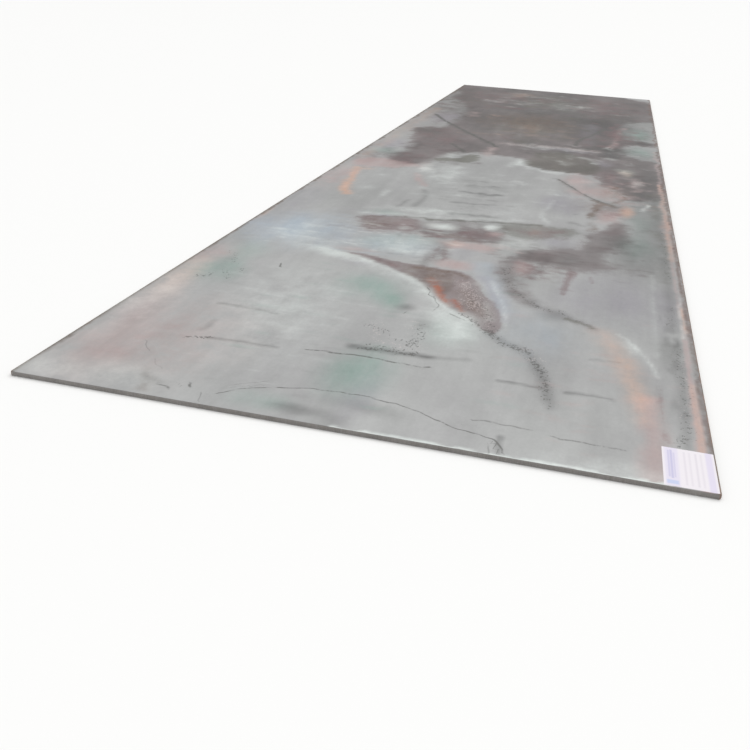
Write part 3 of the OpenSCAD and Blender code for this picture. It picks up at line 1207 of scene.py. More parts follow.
    def speckle(
        self, tree: bpy.types.NodeTree, colour: Socket, look: SpeckleLook, place: Socket
    ) -> tuple[Socket, Socket]:
        """Lays specks over the colour, as many as the mask asks for.

        Args:
            tree: the material's tree.
            colour: the colour under the specks.
            look: the specks' look.
            place: the Object coordinates.

        Returns:
            The speckled colour, and the specks' own mask.
        """
        noise = look.grain.pattern(tree, place)
        mask = add_node(tree, "ShaderNodeAttribute", "Fac", attribute_name=look.tone.value)
        spread = add_node(tree, "ShaderNodeMapRange", Value=noise, **EVEN)
        total = add_node(tree, "ShaderNodeMath", operation="ADD", Value=spread, Value_001=mask)
        specks = add_node(tree, "ShaderNodeMapRange", Value=total, From_Min=1.0,
                          From_Max=1 + self.speck_edge, To_Min=0.0, To_Max=look.most)
        speckled = add_node(tree, "ShaderNodeMix", data_type="RGBA", Factor_Float=specks,
                            A_Color=colour, B_Color=linear(look.colour))
        return speckled, specks

    def scratch_line(self, tree: bpy.types.NodeTree, grains: dict[Noise, Socket]) -> Socket:
        """Adds the scratches' mask: full inside half a width of the line, and broken up by the grain.

        Args:
            tree: the material's tree.
            grains: the shared noises.

        Returns:
            The mask.
        """
        gap = add_node(tree, "ShaderNodeAttribute", "Fac", attribute_name=SCORE_GAP)
        near = add_node(tree, "ShaderNodeAttribute", "Fac", attribute_name=SCORE_NEAR)
        away = add_node(tree, "ShaderNodeMath", operation="ABSOLUTE", Value=gap)
        inside = add_node(tree, "ShaderNodeMapRange", Value=away, From_Min=self.score_edge[0],
                          From_Max=self.score_edge[1], To_Min=self.score_most, To_Max=0.0)
        breaks = add_node(tree, "ShaderNodeMapRange", Value=grains[Noise.GRAIN],
                          From_Min=self.score_breaks[0], From_Max=self.score_breaks[1])
        broken = add_node(tree, "ShaderNodeMath", operation="MULTIPLY", Value=inside, Value_001=breaks)
        return add_node(tree, "ShaderNodeMath", operation="MULTIPLY", Value=broken, Value_001=near)

    def relief(self, tree: bpy.types.NodeTree, place: Socket, line: Socket) -> Socket:
        """Adds the bump: the tooth of the scale, cut away along the scratches.

        Args:
            tree: the material's tree.
            place: the Object coordinates.
            line: the scratches' mask.

        Returns:
            The normal socket.
        """
        tooth = self.tooth.pattern(tree, place)
        height = add_node(tree, "ShaderNodeMath", operation="MULTIPLY_ADD", Value=line,
                          Value_001=-self.score_depth, Value_002=tooth)
        return add_node(tree, "ShaderNodeBump", Height=height, Strength=1.0,
                        Distance=self.tooth_height_mm * MM)


@dataclass(frozen=True)
class MottledSteel:
    """Bare steel or scale in two shades that patches of noise mix.

    Attributes:
        name: the material's name.
        shades: its colours where the noise is low and where it is high.
        metallic: how much it reflects as a metal.
        roughness: how dull it is.
        patches: each noise's size in millimetres, its detail and its roughness, which are added up.
        change: the sum at which the second shade starts to show, and at which it is all that shows.
        squash: how the pattern is scaled along Z: under 1 it is drawn out into upright lines.
        bump: the strength and the height in millimetres of the first noise's relief.
    """

    name: str
    shades: tuple[str, str]
    metallic: float
    roughness: float
    patches: tuple[tuple[float, float, float], ...]
    change: Point
    squash: float = 1.0
    bump: Point = (0.0, 0.0)

    def material(self) -> bpy.types.Material:
        """Builds the material, which reads Object coordinates.

        Returns:
            The material.
        """
        material, tree = new_material(self.name)
        place = add_node(tree, "ShaderNodeTexCoord", "Object")
        place = add_node(tree, "ShaderNodeMapping", Vector=place, Scale=(1.0, 1.0, self.squash))
        first, *others = (
            add_node(tree, "ShaderNodeTexNoise", Vector=place, Scale=per_metre(size_mm), Detail=detail,
                     Roughness=rough)
            for size_mm, detail, rough in self.patches
        )
        total = first
        for noise in others:
            total = add_node(tree, "ShaderNodeMath", operation="ADD", Value=total, Value_001=noise)
        share = add_node(tree, "ShaderNodeMapRange", Value=total, From_Min=self.change[0],
                         From_Max=self.change[1])
        colour = add_node(tree, "ShaderNodeMix", data_type="RGBA", Factor_Float=share,
                          A_Color=linear(self.shades[0]), B_Color=linear(self.shades[1]))
        bump = add_node(tree, "ShaderNodeBump", Height=first, Strength=self.bump[0],
                        Distance=self.bump[1] * MM)
        shader = add_node(tree, "ShaderNodeBsdfPrincipled", Base_Color=colour, Metallic=self.metallic,
                          Roughness=self.roughness, Normal=bump)
        add_node(tree, "ShaderNodeOutputMaterial", Surface=shader)
        return material


# Sheared steel: the blade polishes the upper part of the cut and the rest breaks away. It gives the
# eye a dull grey band with fine upright drag lines.
SHEARED_STEEL = MottledSteel(
    "sheared_steel", ("#96928f", "#827e7b"), 0.4, 0.55, ((1.8, 4, 0.6), (60, 5, 0.6)), (0.75, 1.25),
    squash=0.12, bump=(0.8, 0.15),
)

# The rounded, as-rolled long edge. Its scale is rougher than on the faces and it rusts first, so it
# gives the eye a dull, blotched brown-grey line.
MILL_EDGE_SCALE = MottledSteel(
    "mill_edge_scale", ("#6f6a63", "#8a7468"), 0.3, 0.62, ((45, 7, 0.7),), (0.42, 0.62), bump=(0.7, 0.3),
)

# Loose mill scale: brittle oxide flakes, which give the eye dark grey specks with a dull shine.
LOOSE_FLAKE_SCALE = MottledSteel(
    "loose_scale", ("#55544f", "#7a7872"), 0.2, 0.6, ((15, 2, 0.5),), (0.35, 0.65)
)


@dataclass(frozen=True)
class PrintedBlock:
    """A plain block of ink on the label, in millimetres from the label's near left corner.

    Attributes:
        across: where it starts and ends across the label.
        along: where it starts and ends along it.
        ink: its colour.
        cover: how much of the paper it hides.
        soft: how far its edge bleeds.
    """

    across: Point
    along: Point
    ink: str
    cover: float
    soft: float


@dataclass(frozen=True)
class LabelPaperFinish:
    """Coated label paper, printed with plain bands and ruled lines, with no lettering.

    It gives the eye a matt, faintly lilac white with a soft fibre. The real fibre is too fine to
    show, and it is drawn as coarse as it needs.

    Attributes:
        name: the material's name.
        paper: the paper's colour.
        blocks: what is printed on it.
        roughness: how dull it is.
        fibre_mm: the size of its fibre.
        fibre_height_mm: how deep the fibre's relief is.
    """

    name: str = "label_paper"
    paper: str = "#e4dfe4"
    blocks: tuple[PrintedBlock, ...] = (
        PrintedBlock((7, 28), (-5, 155), "#c9c3e2", 0.4, 5),
        PrintedBlock((11, 13), (34, 138), "#9d9cc9", 0.35, 2),
        PrintedBlock((16, 18.5), (30, 140), "#8f8fc4", 0.4, 2),
        PrintedBlock((21.5, 23), (34, 130), "#9d9cc9", 0.3, 2),
        PrintedBlock((8, 26), (10, 20), "#8fb0e0", 0.45, 4),
        *(
            PrintedBlock((start, start + 1), (12, 138), "#b9b2be", cover, 3)
            for start, cover in ((42, 0.25), (52, 0.2), (64, 0.3), (74, 0.2))
        ),
        PrintedBlock((85, 94), (-5, 155), "#c6bedf", 0.45, 4),
    )
    roughness: float = 0.5
    fibre_mm: float = 2.5
    fibre_height_mm: float = 0.02

    def material(self) -> bpy.types.Material:
        """Builds the material, which reads the label's own UV map, in metres.

        Returns:
            The material.
        """
        material, tree = new_material(self.name)
        spot = add_node(tree, "ShaderNodeUVMap", uv_map=StockLabel.uv_name)
        axes = [add_node(tree, "ShaderNodeSeparateXYZ", axis, Vector=spot) for axis in "XY"]
        colour = linear(self.paper)
        for block in self.blocks:
            spans = [
                self.within(tree, value, span, block.soft)
                for value, span in zip(axes, (block.across, block.along))
            ]
            inside = add_node(tree, "ShaderNodeMath", operation="MULTIPLY", Value=spans[0],
                              Value_001=spans[1])
            cover = add_node(tree, "ShaderNodeMath", operation="MULTIPLY", Value=inside,
                             Value_001=block.cover)
            colour = add_node(tree, "ShaderNodeMix", data_type="RGBA", Factor_Float=cover,
                              A_Color=colour, B_Color=linear(block.ink))
        fibre = add_node(tree, "ShaderNodeTexNoise", Vector=spot, Scale=per_metre(self.fibre_mm), Detail=3.0)
        bump = add_node(tree, "ShaderNodeBump", Height=fibre, Strength=1.0,
                        Distance=self.fibre_height_mm * MM)
        shader = add_node(tree, "ShaderNodeBsdfPrincipled", Base_Color=colour, Roughness=self.roughness,
                          Normal=bump)
        add_node(tree, "ShaderNodeOutputMaterial", Surface=shader)
        return material

    def within(self, tree: bpy.types.NodeTree, value: Socket, span: Point, soft: float) -> Socket:
        """Adds a mask that is 1 inside a span and fades out beyond it.

        Args:
            tree: the material's tree.
            value: the place along one axis, in metres.
            span: where the span starts and ends, in millimetres.
            soft: how far the mask fades, in millimetres.

        Returns:
            The mask.
        """
        middle, half = sum(span) / 2 * MM, (span[1] - span[0]) / 2 * MM
        off = add_node(tree, "ShaderNodeMath", operation="SUBTRACT", Value=value, Value_001=middle)
        off = add_node(tree, "ShaderNodeMath", operation="ABSOLUTE", Value=off)
        return add_node(tree, "ShaderNodeMapRange", Value=off, From_Min=half, From_Max=half + soft * MM,
                        To_Min=1.0, To_Max=0.0)


@dataclass(frozen=True)
class FloorFinish:
    """A plain, pale, matt studio floor."""

    name: str = "studio_floor"
    colour: str = "#efefee"
    roughness: float = 0.9

    def material(self) -> bpy.types.Material:
        """Builds the material.

        Returns:
            The material.
        """
        material, tree = new_material(self.name)
        shader = add_node(tree, "ShaderNodeBsdfPrincipled", Base_Color=linear(self.colour),
                          Roughness=self.roughness)
        add_node(tree, "ShaderNodeOutputMaterial", Surface=shader)
        return material


# ---- Pieces ----


class Face(Enum):
    """The plate's kinds of face, in the order of its material slots."""

    ROLLED = 0
    CUT = 1
    MILL_EDGE = 2


@dataclass
class RolledPlate:
    """The plate's skin: its two rolled faces, its rounded mill edges and its sheared ends.

    The skin is a ring of points round the plate's section, repeated along the length, so it is one
    closed surface. Sizes are in millimetres, but the two corners of its box are in metres.
    """

    low: Vector
    high: Vector
    mill_radius: float = 3.5
    arris: float = 1.0
    corner: float = 4.0
    top_cells: int = 192
    under_cells: int = 4
    arc_cells: int = 4
    arris_cells: int = 3
    row_cells: int = 430
    near_row_share: float = 0.48  # how evenly the rows are spaced: at 1 they all are as far apart
    guard: float = 0.5  # the flat strip beside a rounded edge
    cap_insets: tuple[float, ...] = (4.2, 2.6)  # the rings between a cut face's middle and its rim
    last_slit: Point = (0.4, 0.3)  # half the height of its last slit, as laid out and at the least
    wave: float = 0.18  # the depth of the slow waves in the top
    ripple_count: int = 4
    ripple_length: Point = (500.0, 1500.0)  # the shortest and the longest of them
    ripple_slant: float = 0.5
    edge_wander: float = 0.4
    wander_waves: tuple[Point, ...] = ((190, 1), (71, 2), (640, 0))  # each one's size and its own shift
    seed: int = 12
    polished: float = 0.62  # the share of the thickness above which the shear blade polishes the cut
    break_run: float = 1.5  # the height over which the rest breaks away
    break_depth: float = 0.22
    break_waves: Point = (13.0, 29.0)
    marks: MarkMap = field(default_factory=MarkMap)
    marked_from: Point = (0.625, 0.875)  # the shares of the thickness between which the marks fade in
    bare_rim: float = 15.0  # how near the rim no loose scale lies

    def __post_init__(self) -> None:
        """Works out the plate's sizes and the slow waves of its faces and edges."""
        self.width, self.length, self.thickness = ((self.high - self.low) / MM)[:]
        self.half_width, self.half_length = self.width / 2, self.length / 2
        dice = np.random.default_rng(self.seed)
        self.ripples = [
            (dice.uniform(*self.ripple_length), dice.uniform(-self.ripple_slant, self.ripple_slant),
             dice.uniform(0, math.tau))
            for _ in range(self.ripple_count)
        ]

    def dip(self, across: np.ndarray, along: np.ndarray) -> np.ndarray:
        """Gives the slow waves of the top.

        Args:
            across: places across the plate.
            along: places along it.

        Returns:
            How far the top lies under its highest level there.
        """
        total = np.zeros(np.broadcast(across, along).shape)
        for length, slant, start in self.ripples:
            total += np.sin(math.tau * (along + slant * across) / length + start)
        return self.wave * (1 - total / len(self.ripples)) / 2

    def wander(self, along: np.ndarray, side: int) -> np.ndarray:
        """Gives how far a mill edge lies inside its widest line."""
        total = sum(np.sin(along / size + shift * side) for size, shift in self.wander_waves)
        return self.edge_wander * (1 - total / len(self.wander_waves)) / 2

    def section(self) -> tuple[np.ndarray, np.ndarray, np.ndarray]:
        """Lays out the ring of points round the section.

        Returns:
            Each point's place across from the middle, its height, and the kind of the face that
            follows it.
        """
        edge, radius, top = self.half_width, self.mill_radius, self.thickness
        flat = edge - radius
        inner = flat - self.guard
        turn = np.linspace(0, math.pi / 2, self.arc_cells + 1)
        arc_in, arc_up = radius * (1 - np.sin(turn)), radius * (1 - np.cos(turn))
        top_line = np.concatenate([[-flat], np.linspace(-inner, inner, self.top_cells + 1), [flat]])
        under_line = np.concatenate([[flat], np.linspace(inner, -inner, self.under_cells + 1), [-flat]])
        right_x = edge - arc_in[1:]
        right_z = top - arc_up[1:]
        lower_x, lower_z = right_x[::-1][1:], top - right_z[::-1][1:]
        lower_x = np.concatenate([[edge], lower_x])
        lower_z = np.concatenate([[radius], lower_z])
        across = np.concatenate([top_line, right_x, lower_x, under_line, -lower_x[::-1], -right_x[::-1]])
        height = np.concatenate(
            [np.full(len(top_line), top), right_z, lower_z, np.zeros(len(under_line)),
             lower_z[::-1], right_z[::-1]]
        )
        kind = np.full(len(across), Face.MILL_EDGE.value)
        kind[: len(top_line) - 1] = Face.ROLLED.value
        under = len(top_line) + len(right_x) + len(lower_x)
        kind[under : under + len(under_line) - 1] = Face.ROLLED.value
        return across, height, kind

    def rows(self) -> tuple[np.ndarray, np.ndarray]:
        """Lays out the rings along the length and over the cut ends.

        Rows are closest at the near end. The rings on a cut face stand at the end itself, and close
        in on its middle line.

        Returns:
            Each ring's distance from the near end, and its inset from the section's outline.
        """
        share = np.linspace(0, 1, self.row_cells + 1)
        body = self.length * (self.near_row_share * share + (1 - self.near_row_share) * share**2)
        turn = np.linspace(0, math.pi / 2, self.arris_cells + 1)[:-1]
        arris_run = self.arris * (1 - np.cos(turn))
        arris_inset = self.arris * (1 - np.sin(turn))
        cap_inset = [self.thickness / 2 - self.last_slit[0], *self.cap_insets, self.arris + self.guard]
        near_run = np.concatenate(
            [np.zeros(len(cap_inset)), arris_run, [self.arris, 2 * self.arris, self.corner]]
        )
        near_inset = np.concatenate([cap_inset, arris_inset, [0.0, 0.0, 0.0]])
        inner = body[(body > 2 * self.corner) & (body < self.length - 2 * self.corner)]
        run = np.concatenate([near_run, inner, self.length - near_run[::-1]])
        inset = np.concatenate([near_inset, np.zeros(len(inner)), near_inset[::-1]])
        return run, inset

    def build(self) -> bpy.types.Object:
        """Builds the skin's mesh, with its masks and its face kinds.

        Returns:
            The finished object, with no materials yet.
        """
        across, height, kind = self.section()
        run, inset = self.rows()
        ring, count = len(across), len(run)
        from_end = np.minimum(run, self.length - run)
        curve = np.clip(self.corner - from_end, 0, self.corner)
        corner_in = self.corner - np.sqrt(self.corner**2 - curve**2)
        x = np.broadcast_to(across, (count, ring)).copy()
        z = np.broadcast_to(height, (count, ring)).copy()
        y = np.broadcast_to(run[:, None], (count, ring)).copy()
        side = np.sign(x)
        closing = np.clip(inset - self.arris, 0, None)[:, None]
        wander = np.where(side > 0, self.wander(y, 1), self.wander(y, 2))
        shrink = (corner_in[:, None] + wander + closing) / self.half_width
        x *= 1 - shrink
        body_height = self.thickness - self.dip(x + self.half_width, y)
        z *= body_height / self.thickness
        low = np.minimum(inset, self.thickness / 2 - self.last_slit[1])[:, None]
        z = np.clip(z, low, body_height - low)
        y += self.cut_relief(x, z, y, inset)
        points = np.stack([x, y - self.half_length, z], axis=-1).reshape(-1, 3) * MM
        points[:, 0] += (self.low.x + self.high.x) / 2
        points[:, 1] += (self.low.y + self.high.y) / 2
        points[:, 2] += self.low.z

        here = np.arange(count * ring).reshape(count, ring)
        after = np.roll(here, -1, axis=1)
        quads = np.stack([here[:-1], after[:-1], after[1:], here[1:]], axis=-1).reshape(-1, 4)
        kinds = np.broadcast_to(kind, (count - 1, ring)).copy()
        on_cap = (inset[:-1] >= self.arris - TINY) & (inset[1:] >= self.arris - TINY)
        kinds[on_cap] = Face.CUT.value
        mesh = self.closed_mesh(points, quads, here[0], here[-1][::-1], kinds.ravel())
        self.write_masks(mesh)
        return mesh_object("rolled_plate", mesh)

    def cut_relief(self, x: np.ndarray, z: np.ndarray, y: np.ndarray, inset: np.ndarray) -> np.ndarray:
        """Gives the relief of the cut faces: the lower part breaks away behind the polished one.

        Args:
            x: the points' places across the plate.
            z: their heights.
            y: their places along it.
            inset: each ring's inset.

        Returns:
            How far each point stands back from its end, as a shift along Y.
        """
        on_face = (inset >= self.arris - TINY)[:, None]
        broken = ease((self.thickness * self.polished - z) / self.break_run)
        rough = (2 + np.sin(x / self.break_waves[0]) + np.sin(x / self.break_waves[1] + z)) / 4
        back = on_face * (self.break_depth * broken * rough)
        return np.where(y < self.half_length, back, -back)

    def closed_mesh(
        self, points: np.ndarray, quads: np.ndarray, near: np.ndarray, far: np.ndarray, kinds: np.ndarray
    ) -> bpy.types.Mesh:
        """Makes the mesh from its quads and closes the last slit in each cut face.

        Args:
            points: the points, in metres.
            quads: the rings' faces.
            near: the innermost ring of the near end.
            far: the innermost ring of the far end, the other way round.
            kinds: each quad's face kind.

        Returns:
            The mesh, with smooth faces.
        """
        faces = quads.tolist() + [near.tolist()[::-1], far.tolist()[::-1]]
        mesh = bpy.data.meshes.new("rolled_plate")
        mesh.from_pydata(points.tolist(), [], faces)
        mesh.polygons.foreach_set("material_index", np.append(kinds, [Face.CUT.value] * 2))
        mesh.polygons.foreach_set("use_smooth", np.ones(len(faces), bool))
        mesh.update()
        return mesh

    def write_masks(self, mesh: bpy.types.Mesh) -> None:
        """Writes every mask on the mesh: full on the top, nothing under the plate.

        Args:
            mesh: the skin's mesh, which gets one attribute a mask.
        """
        co = np.empty(len(mesh.vertices) * 3, np.float32)
        mesh.vertices.foreach_get("co", co)
        co = co.reshape(-1, 3).astype(float)
        places = (co[:, :2] - np.array([self.low.x, self.low.y])) / MM
        start, end = self.marked_from
        above = ease(((co[:, 2] - self.low.z) / MM / self.thickness - start) / (end - start))
        masks = self.marks.masks(places)
        rim = np.minimum(places, [self.width, self.length] - places).min(1)
        masks[LOOSE] = masks[Tone.SCUFF.value] ** 2 * (rim > self.bare_rim)
        for name, mask in masks.items():
            layer = mesh.attributes.new(name, "FLOAT", "POINT")
            layer.data.foreach_set("value", (mask * above).astype(np.float32))

    def dress(self, piece: bpy.types.Object) -> None:
        """Gives the skin its finishes, in the order of its face kinds."""
        for finish in (MillScaleFinish(), SHEARED_STEEL, MILL_EDGE_SCALE):
            piece.data.materials.append(finish.material())

    def level(self, across: np.ndarray, along: np.ndarray) -> np.ndarray:
        """Gives the top's height over the underside at places on the plate."""
        return self.thickness - self.dip(across, along)


@dataclass
class LooseScale:
    """Flakes of loose scale on the scuffed parts of the top, scattered by Geometry Nodes.

    Attributes:
        plate: the plate's skin, which carries the mask of where loose scale lies.
        per_square_metre: how many flakes lie on a square metre where the mask is full.
        smallest_mm: the least radius of a flake.
        largest_mm: the greatest.
        thickness_mm: how far a flake stands up from the plate; it goes as deep into it.
        corners: how many corners a flake has.
        ragged_mm: how far its corners are pushed about.
        ragged_size_mm: the size of the noise that pushes them.
        seed: the scattering's seed.
    """

    plate: bpy.types.Object
    per_square_metre: float = 20000.0
    smallest_mm: float = 0.5
    largest_mm: float = 2.0
    thickness_mm: float = 0.06
    corners: int = 7
    ragged_mm: float = 0.8
    ragged_size_mm: float = 3.0
    seed: int = 5

    def tree(self) -> bpy.types.GeometryNodeTree:
        """Builds the scattering tree, with named inputs for its sizes.

        Returns:
            The tree, which turns the plate's skin into flakes alone.
        """
        tree = bpy.data.node_groups.new("scatter_scale", "GeometryNodeTree")
        face = tree.interface
        face.new_socket("Geometry", in_out="OUTPUT", socket_type="NodeSocketGeometry")
        face.new_socket("Geometry", in_out="INPUT", socket_type="NodeSocketGeometry")
        for name in ("Flakes per Square Metre", "Smallest", "Largest", "Thickness", "Raggedness"):
            face.new_socket(name, in_out="INPUT", socket_type="NodeSocketFloat")
        face.new_socket("Seed", in_out="INPUT", socket_type="NodeSocketInt")
        face.new_socket("Finish", in_out="INPUT", socket_type="NodeSocketMaterial")
        given = add_node(tree, "NodeGroupInput").node.outputs
        seed = given["Seed"]

        scuffed = add_node(tree, "GeometryNodeInputNamedAttribute", "Attribute", data_type="FLOAT",
                           Name=LOOSE)
        crowd = add_node(tree, "ShaderNodeMath", operation="MULTIPLY", Value=scuffed,
                         Value_001=given["Flakes per Square Metre"])
        spots = add_node(tree, "GeometryNodeDistributePointsOnFaces", "Points", distribute_method="RANDOM",
                         Mesh=given["Geometry"], Density=crowd, Seed=seed)
        disc = add_node(tree, "GeometryNodeMeshCylinder", "Mesh", fill_type="NGON", Vertices=self.corners,
                        Radius=1.0, Depth=2.0)
        turn = add_node(tree, "FunctionNodeRandomValue", data_type="FLOAT_VECTOR", Min=(0.0, 0.0, 0.0),
                        Max=(0.0, 0.0, math.tau), Seed=seed)
        small, large = (
            add_node(tree, "ShaderNodeCombineXYZ", X=given[name], Y=given[name], Z=given["Thickness"])
            for name in ("Smallest", "Largest")
        )
        size = add_node(tree, "FunctionNodeRandomValue", data_type="FLOAT_VECTOR", Min=small, Max=large,
                        Seed=seed)
        placed = add_node(tree, "GeometryNodeInstanceOnPoints", Points=spots, Instance=disc, Rotation=turn,
                          Scale=size)
        real = add_node(tree, "GeometryNodeRealizeInstances", Geometry=placed)
        spot = add_node(tree, "GeometryNodeInputPosition")
        noise = add_node(tree, "ShaderNodeTexNoise", "Color", Vector=spot,
                         Scale=per_metre(self.ragged_size_mm), Detail=1.0)
        centred = add_node(tree, "ShaderNodeVectorMath", operation="SUBTRACT", Vector=noise,
                           Vector_001=(0.5, 0.5, 0.5))
        reach = add_node(tree, "ShaderNodeCombineXYZ", X=given["Raggedness"], Y=given["Raggedness"], Z=0.0)
        pushed = add_node(tree, "ShaderNodeVectorMath", operation="MULTIPLY", Vector=centred,
                          Vector_001=reach)
        torn = add_node(tree, "GeometryNodeSetPosition", Geometry=real, Offset=pushed)
        done = add_node(tree, "GeometryNodeRealizeInstances", Geometry=torn)
        done = add_node(tree, "GeometryNodeSetMaterial", Geometry=done, Material=given["Finish"])
        add_node(tree, "NodeGroupOutput", Geometry=done)
        return tree

    def build(self) -> bpy.types.Object:
        """Scatters the flakes on a copy of the plate's skin and keeps only the flakes.

        Returns:
            The flakes, as one object.
        """
        carrier = mesh_object("scale_carrier", self.plate.data)
        modifier = carrier.modifiers.new("scatter_scale", "NODES")
        modifier.node_group = self.tree()
        values = {
            "Flakes per Square Metre": self.per_square_metre,
            "Smallest": self.smallest_mm * MM,
            "Largest": self.largest_mm * MM,
            "Thickness": self.thickness_mm * MM,
            "Raggedness": 2 * self.ragged_mm * MM,
            "Seed": self.seed,
            "Finish": LOOSE_FLAKE_SCALE.material(),
        }
        for item in modifier.node_group.interface.items_tree:
            if item.in_out == "INPUT" and item.name in values:
                modifier[item.identifier] = values[item.name]
        graph = bpy.context.evaluated_depsgraph_get()
        mesh = bpy.data.meshes.new_from_object(carrier.evaluated_get(graph))
        bpy.data.objects.remove(carrier)
        mesh.name = "loose_scale"
        return mesh_object("loose_scale", mesh)


@dataclass
class StockLabel:
    """The paper label: a thin sheet that follows the plate and has a few shallow creases.

    The two corners of its box are in metres.
    """

    low: Vector
    high: Vector
    plate: RolledPlate
    corner_mm: float = 2.0
    cells_across: int = 50
    cells_along: int = 75
    paper_mm: float = 0.12
    crease_mm: float = 0.05
    crease_waves: tuple[Point, ...] = ((9, 21), (31, -13))  # each one's size across and along
    uv_name: str = "label_plan"

    def build(self) -> bpy.types.Object:
        """Builds the label as a closed sheet with a UV map in metres.

        Returns:
            The finished object, with no material yet.
        """
        width, length = ((self.high - self.low) / MM)[:2]
        u, v = np.meshgrid(
            np.linspace(0, width, self.cells_across + 1), np.linspace(0, length, self.cells_along + 1)
        )
        u, v = self.round_corners(u, v, width, length)
        across = u + (self.low.x - self.plate.low.x) / MM
        along = v + (self.low.y - self.plate.low.y) / MM
        bed = self.plate.level(across, along)
        waves = sum(np.sin(u / wide + v / long) for wide, long in self.crease_waves)
        crease = self.crease_mm * (0.5 + waves / 4)
        top = np.minimum(bed + self.paper_mm + crease, (self.high.z - self.plate.low.z) / MM)
        sheets = []
        for height in (top, bed):
            sheets.append(np.stack([u * MM + self.low.x, v * MM + self.low.y,
                                    height * MM + self.plate.low.z], axis=-1).reshape(-1, 3))
        count = u.size
        here = np.arange(count).reshape(u.shape)
        upper = np.stack([here[:-1, :-1], here[:-1, 1:], here[1:, 1:], here[1:, :-1]], -1).reshape(-1, 4)
        rim = np.concatenate([here[0, :-1], here[:-1, -1], here[-1, :0:-1], here[:0:-1, 0]])
        ahead = np.roll(rim, -1)
        wall = np.stack([rim, rim + count, ahead + count, ahead], -1)
        faces = np.vstack([upper, upper[:, ::-1] + count, wall])
        mesh = bpy.data.meshes.new("stock_label")
        mesh.from_pydata(np.vstack(sheets).tolist(), [], faces.tolist())
        plan = np.tile(np.stack([u, v], -1).reshape(-1, 2) * MM, (2, 1))
        corners = np.empty(len(mesh.loops), np.int32)
        mesh.loops.foreach_get("vertex_index", corners)
        mesh.uv_layers.new(name=self.uv_name).data.foreach_set("uv", plan[corners].ravel())
        mesh.update()
        return mesh_object("stock_label", mesh)

    def round_corners(
        self, u: np.ndarray, v: np.ndarray, width: float, length: float
    ) -> tuple[np.ndarray, np.ndarray]:
        """Pulls the sheet's outermost points in on the four rounded corners.

        Args:
            u: places across the label.
            v: places along the label.
            width: the label's width.
            length: the label's length.

        Returns:
            The places with rounded corners.
        """
        radius = self.corner_mm
        off_u = np.abs(u - width / 2) - (width / 2 - radius)
        off_v = np.abs(v - length / 2) - (length / 2 - radius)
        both = (off_u > 0) & (off_v > 0)
        away = np.where(both, np.hypot(off_u, off_v), 1.0)
        longest = np.where(both, np.maximum(off_u, off_v), 1.0)
        pull = np.where(both, longest / away, 1.0)
        new_u = np.where(both, width / 2 + np.sign(u - width / 2) * (width / 2 - radius + off_u * pull), u)
        new_v = np.where(both, length / 2 + np.sign(v - length / 2) * (length / 2 - radius + off_v * pull), v)
        return new_u, new_v


# ---- Studio ----


@dataclass
class Viewpoint:
    """The camera, near one corner of the labelled end at a worker's chest height."""

    place_mm: tuple[float, float, float] = (437.0, -4467.0, 856.0)
    azimuth: float = 13.66
    elevation: float = 25.3
    roll: float = 3.11
    lens_mm: float = 41.3
    far_clip_m: float = 400.0

    def build(self) -> None:
        """Makes the camera and hands it to the scene."""
        camera = bpy.data.cameras.new("viewpoint")
        camera.lens = self.lens_mm
        camera.clip_end = self.far_clip_m
        rig = bpy.data.objects.new("viewpoint", camera)
        turned = (
            Matrix.Rotation(math.radians(self.azimuth), 4, "Z")
            @ Matrix.Rotation(math.radians(90 - self.elevation), 4, "X")
            @ Matrix.Rotation(math.radians(self.roll), 4, "Z")
        )
        rig.matrix_world = Matrix.Translation(Vector(self.place_mm) * MM) @ turned
        bpy.context.scene.collection.objects.link(rig)
        bpy.context.scene.camera = rig


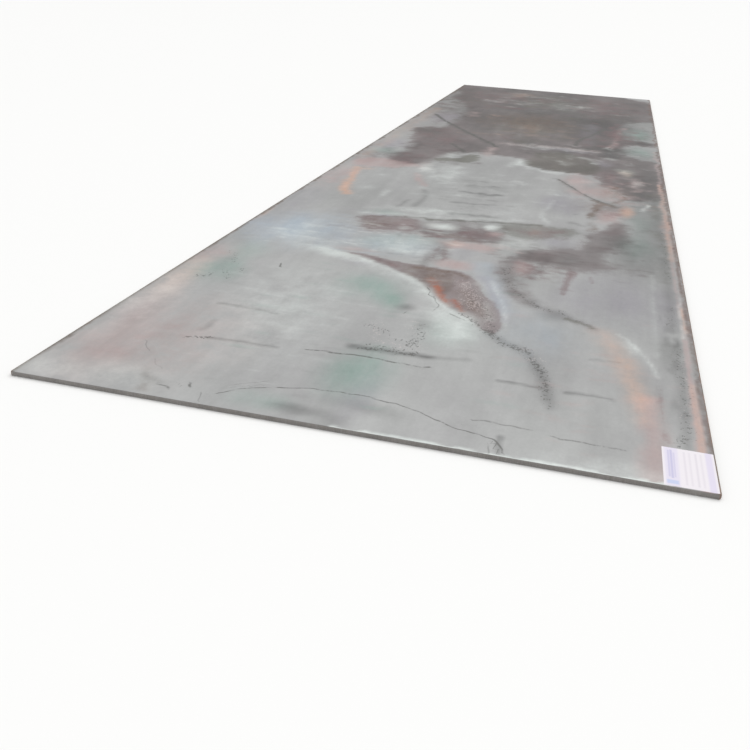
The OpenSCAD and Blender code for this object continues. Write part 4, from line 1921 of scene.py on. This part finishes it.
@dataclass
class Studio:
    """A wide pale floor under an even, soft sky, with one broad key light."""

    floor_half_m: float = 150.0
    sky_low: str = "#949494"
    sky_high: str = "#ffffff"
    sky_strength: float = 1.0
    key_strength: float = 1.35
    key_spread: float = 60.0
    key_azimuth: float = -30.0
    key_elevation: float = 60.0

    def build(self) -> None:
        """Makes the floor, the sky and the key light."""
        half = self.floor_half_m
        mesh = bpy.data.meshes.new("studio_floor")
        mesh.from_pydata([(-half, -half, 0), (half, -half, 0), (half, half, 0), (-half, half, 0)], [],
                         [(0, 1, 2, 3)])
        floor = mesh_object("studio_floor", mesh)
        floor.data.materials.append(FloorFinish().material())
        self.sky()
        self.key()
        bpy.context.scene.view_settings.view_transform = "Standard"

    def sky(self) -> None:
        """Makes the sky, a little brighter overhead than at the horizon."""
        world = bpy.data.worlds.new("studio_sky")
        world.use_nodes = True
        tree = world.node_tree
        tree.nodes.clear()
        way = add_node(tree, "ShaderNodeTexCoord", "Generated")
        height = add_node(tree, "ShaderNodeSeparateXYZ", "Z", Vector=way)
        colour = add_node(tree, "ShaderNodeMix", data_type="RGBA", Factor_Float=height,
                          A_Color=linear(self.sky_low), B_Color=linear(self.sky_high))
        light = add_node(tree, "ShaderNodeBackground", Color=colour, Strength=self.sky_strength)
        add_node(tree, "ShaderNodeOutputWorld", Surface=light)
        bpy.context.scene.world = world

    def key(self) -> None:
        """Makes the key light, a very broad sun."""
        light = bpy.data.lights.new("key_light", "SUN")
        light.energy = self.key_strength
        light.angle = math.radians(self.key_spread)
        lamp = bpy.data.objects.new("key_light", light)
        lamp.matrix_world = (
            Matrix.Rotation(math.radians(self.key_azimuth), 4, "Z")
            @ Matrix.Rotation(math.radians(self.key_elevation - 90), 4, "X")
        )
        bpy.context.scene.collection.objects.link(lamp)


def main() -> None:
    """Builds the studio, then each piece, and reports each one."""
    logging.basicConfig(level=logging.INFO, format="%(name)s: %(message)s")
    Viewpoint().build()
    Studio().build()

    plate = RolledPlate(*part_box("plate"))
    skin = plate.build()
    plate.dress(skin)
    scale = LooseScale(skin).build()
    label = StockLabel(*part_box("label"), plate).build()
    label.data.materials.append(LabelPaperFinish().material())

    for piece, slot, nodes in (
        (skin, "mill_scale_steel", ["plate"]),
        (scale, "mill_scale_steel", []),
        (label, "label_paper", ["label"]),
    ):
        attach(piece, BODY)
        if nodes:
            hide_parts(*nodes)
        log.info("%s: %d faces", piece.name, len(piece.data.polygons))


if __name__ == "__main__":
    main()
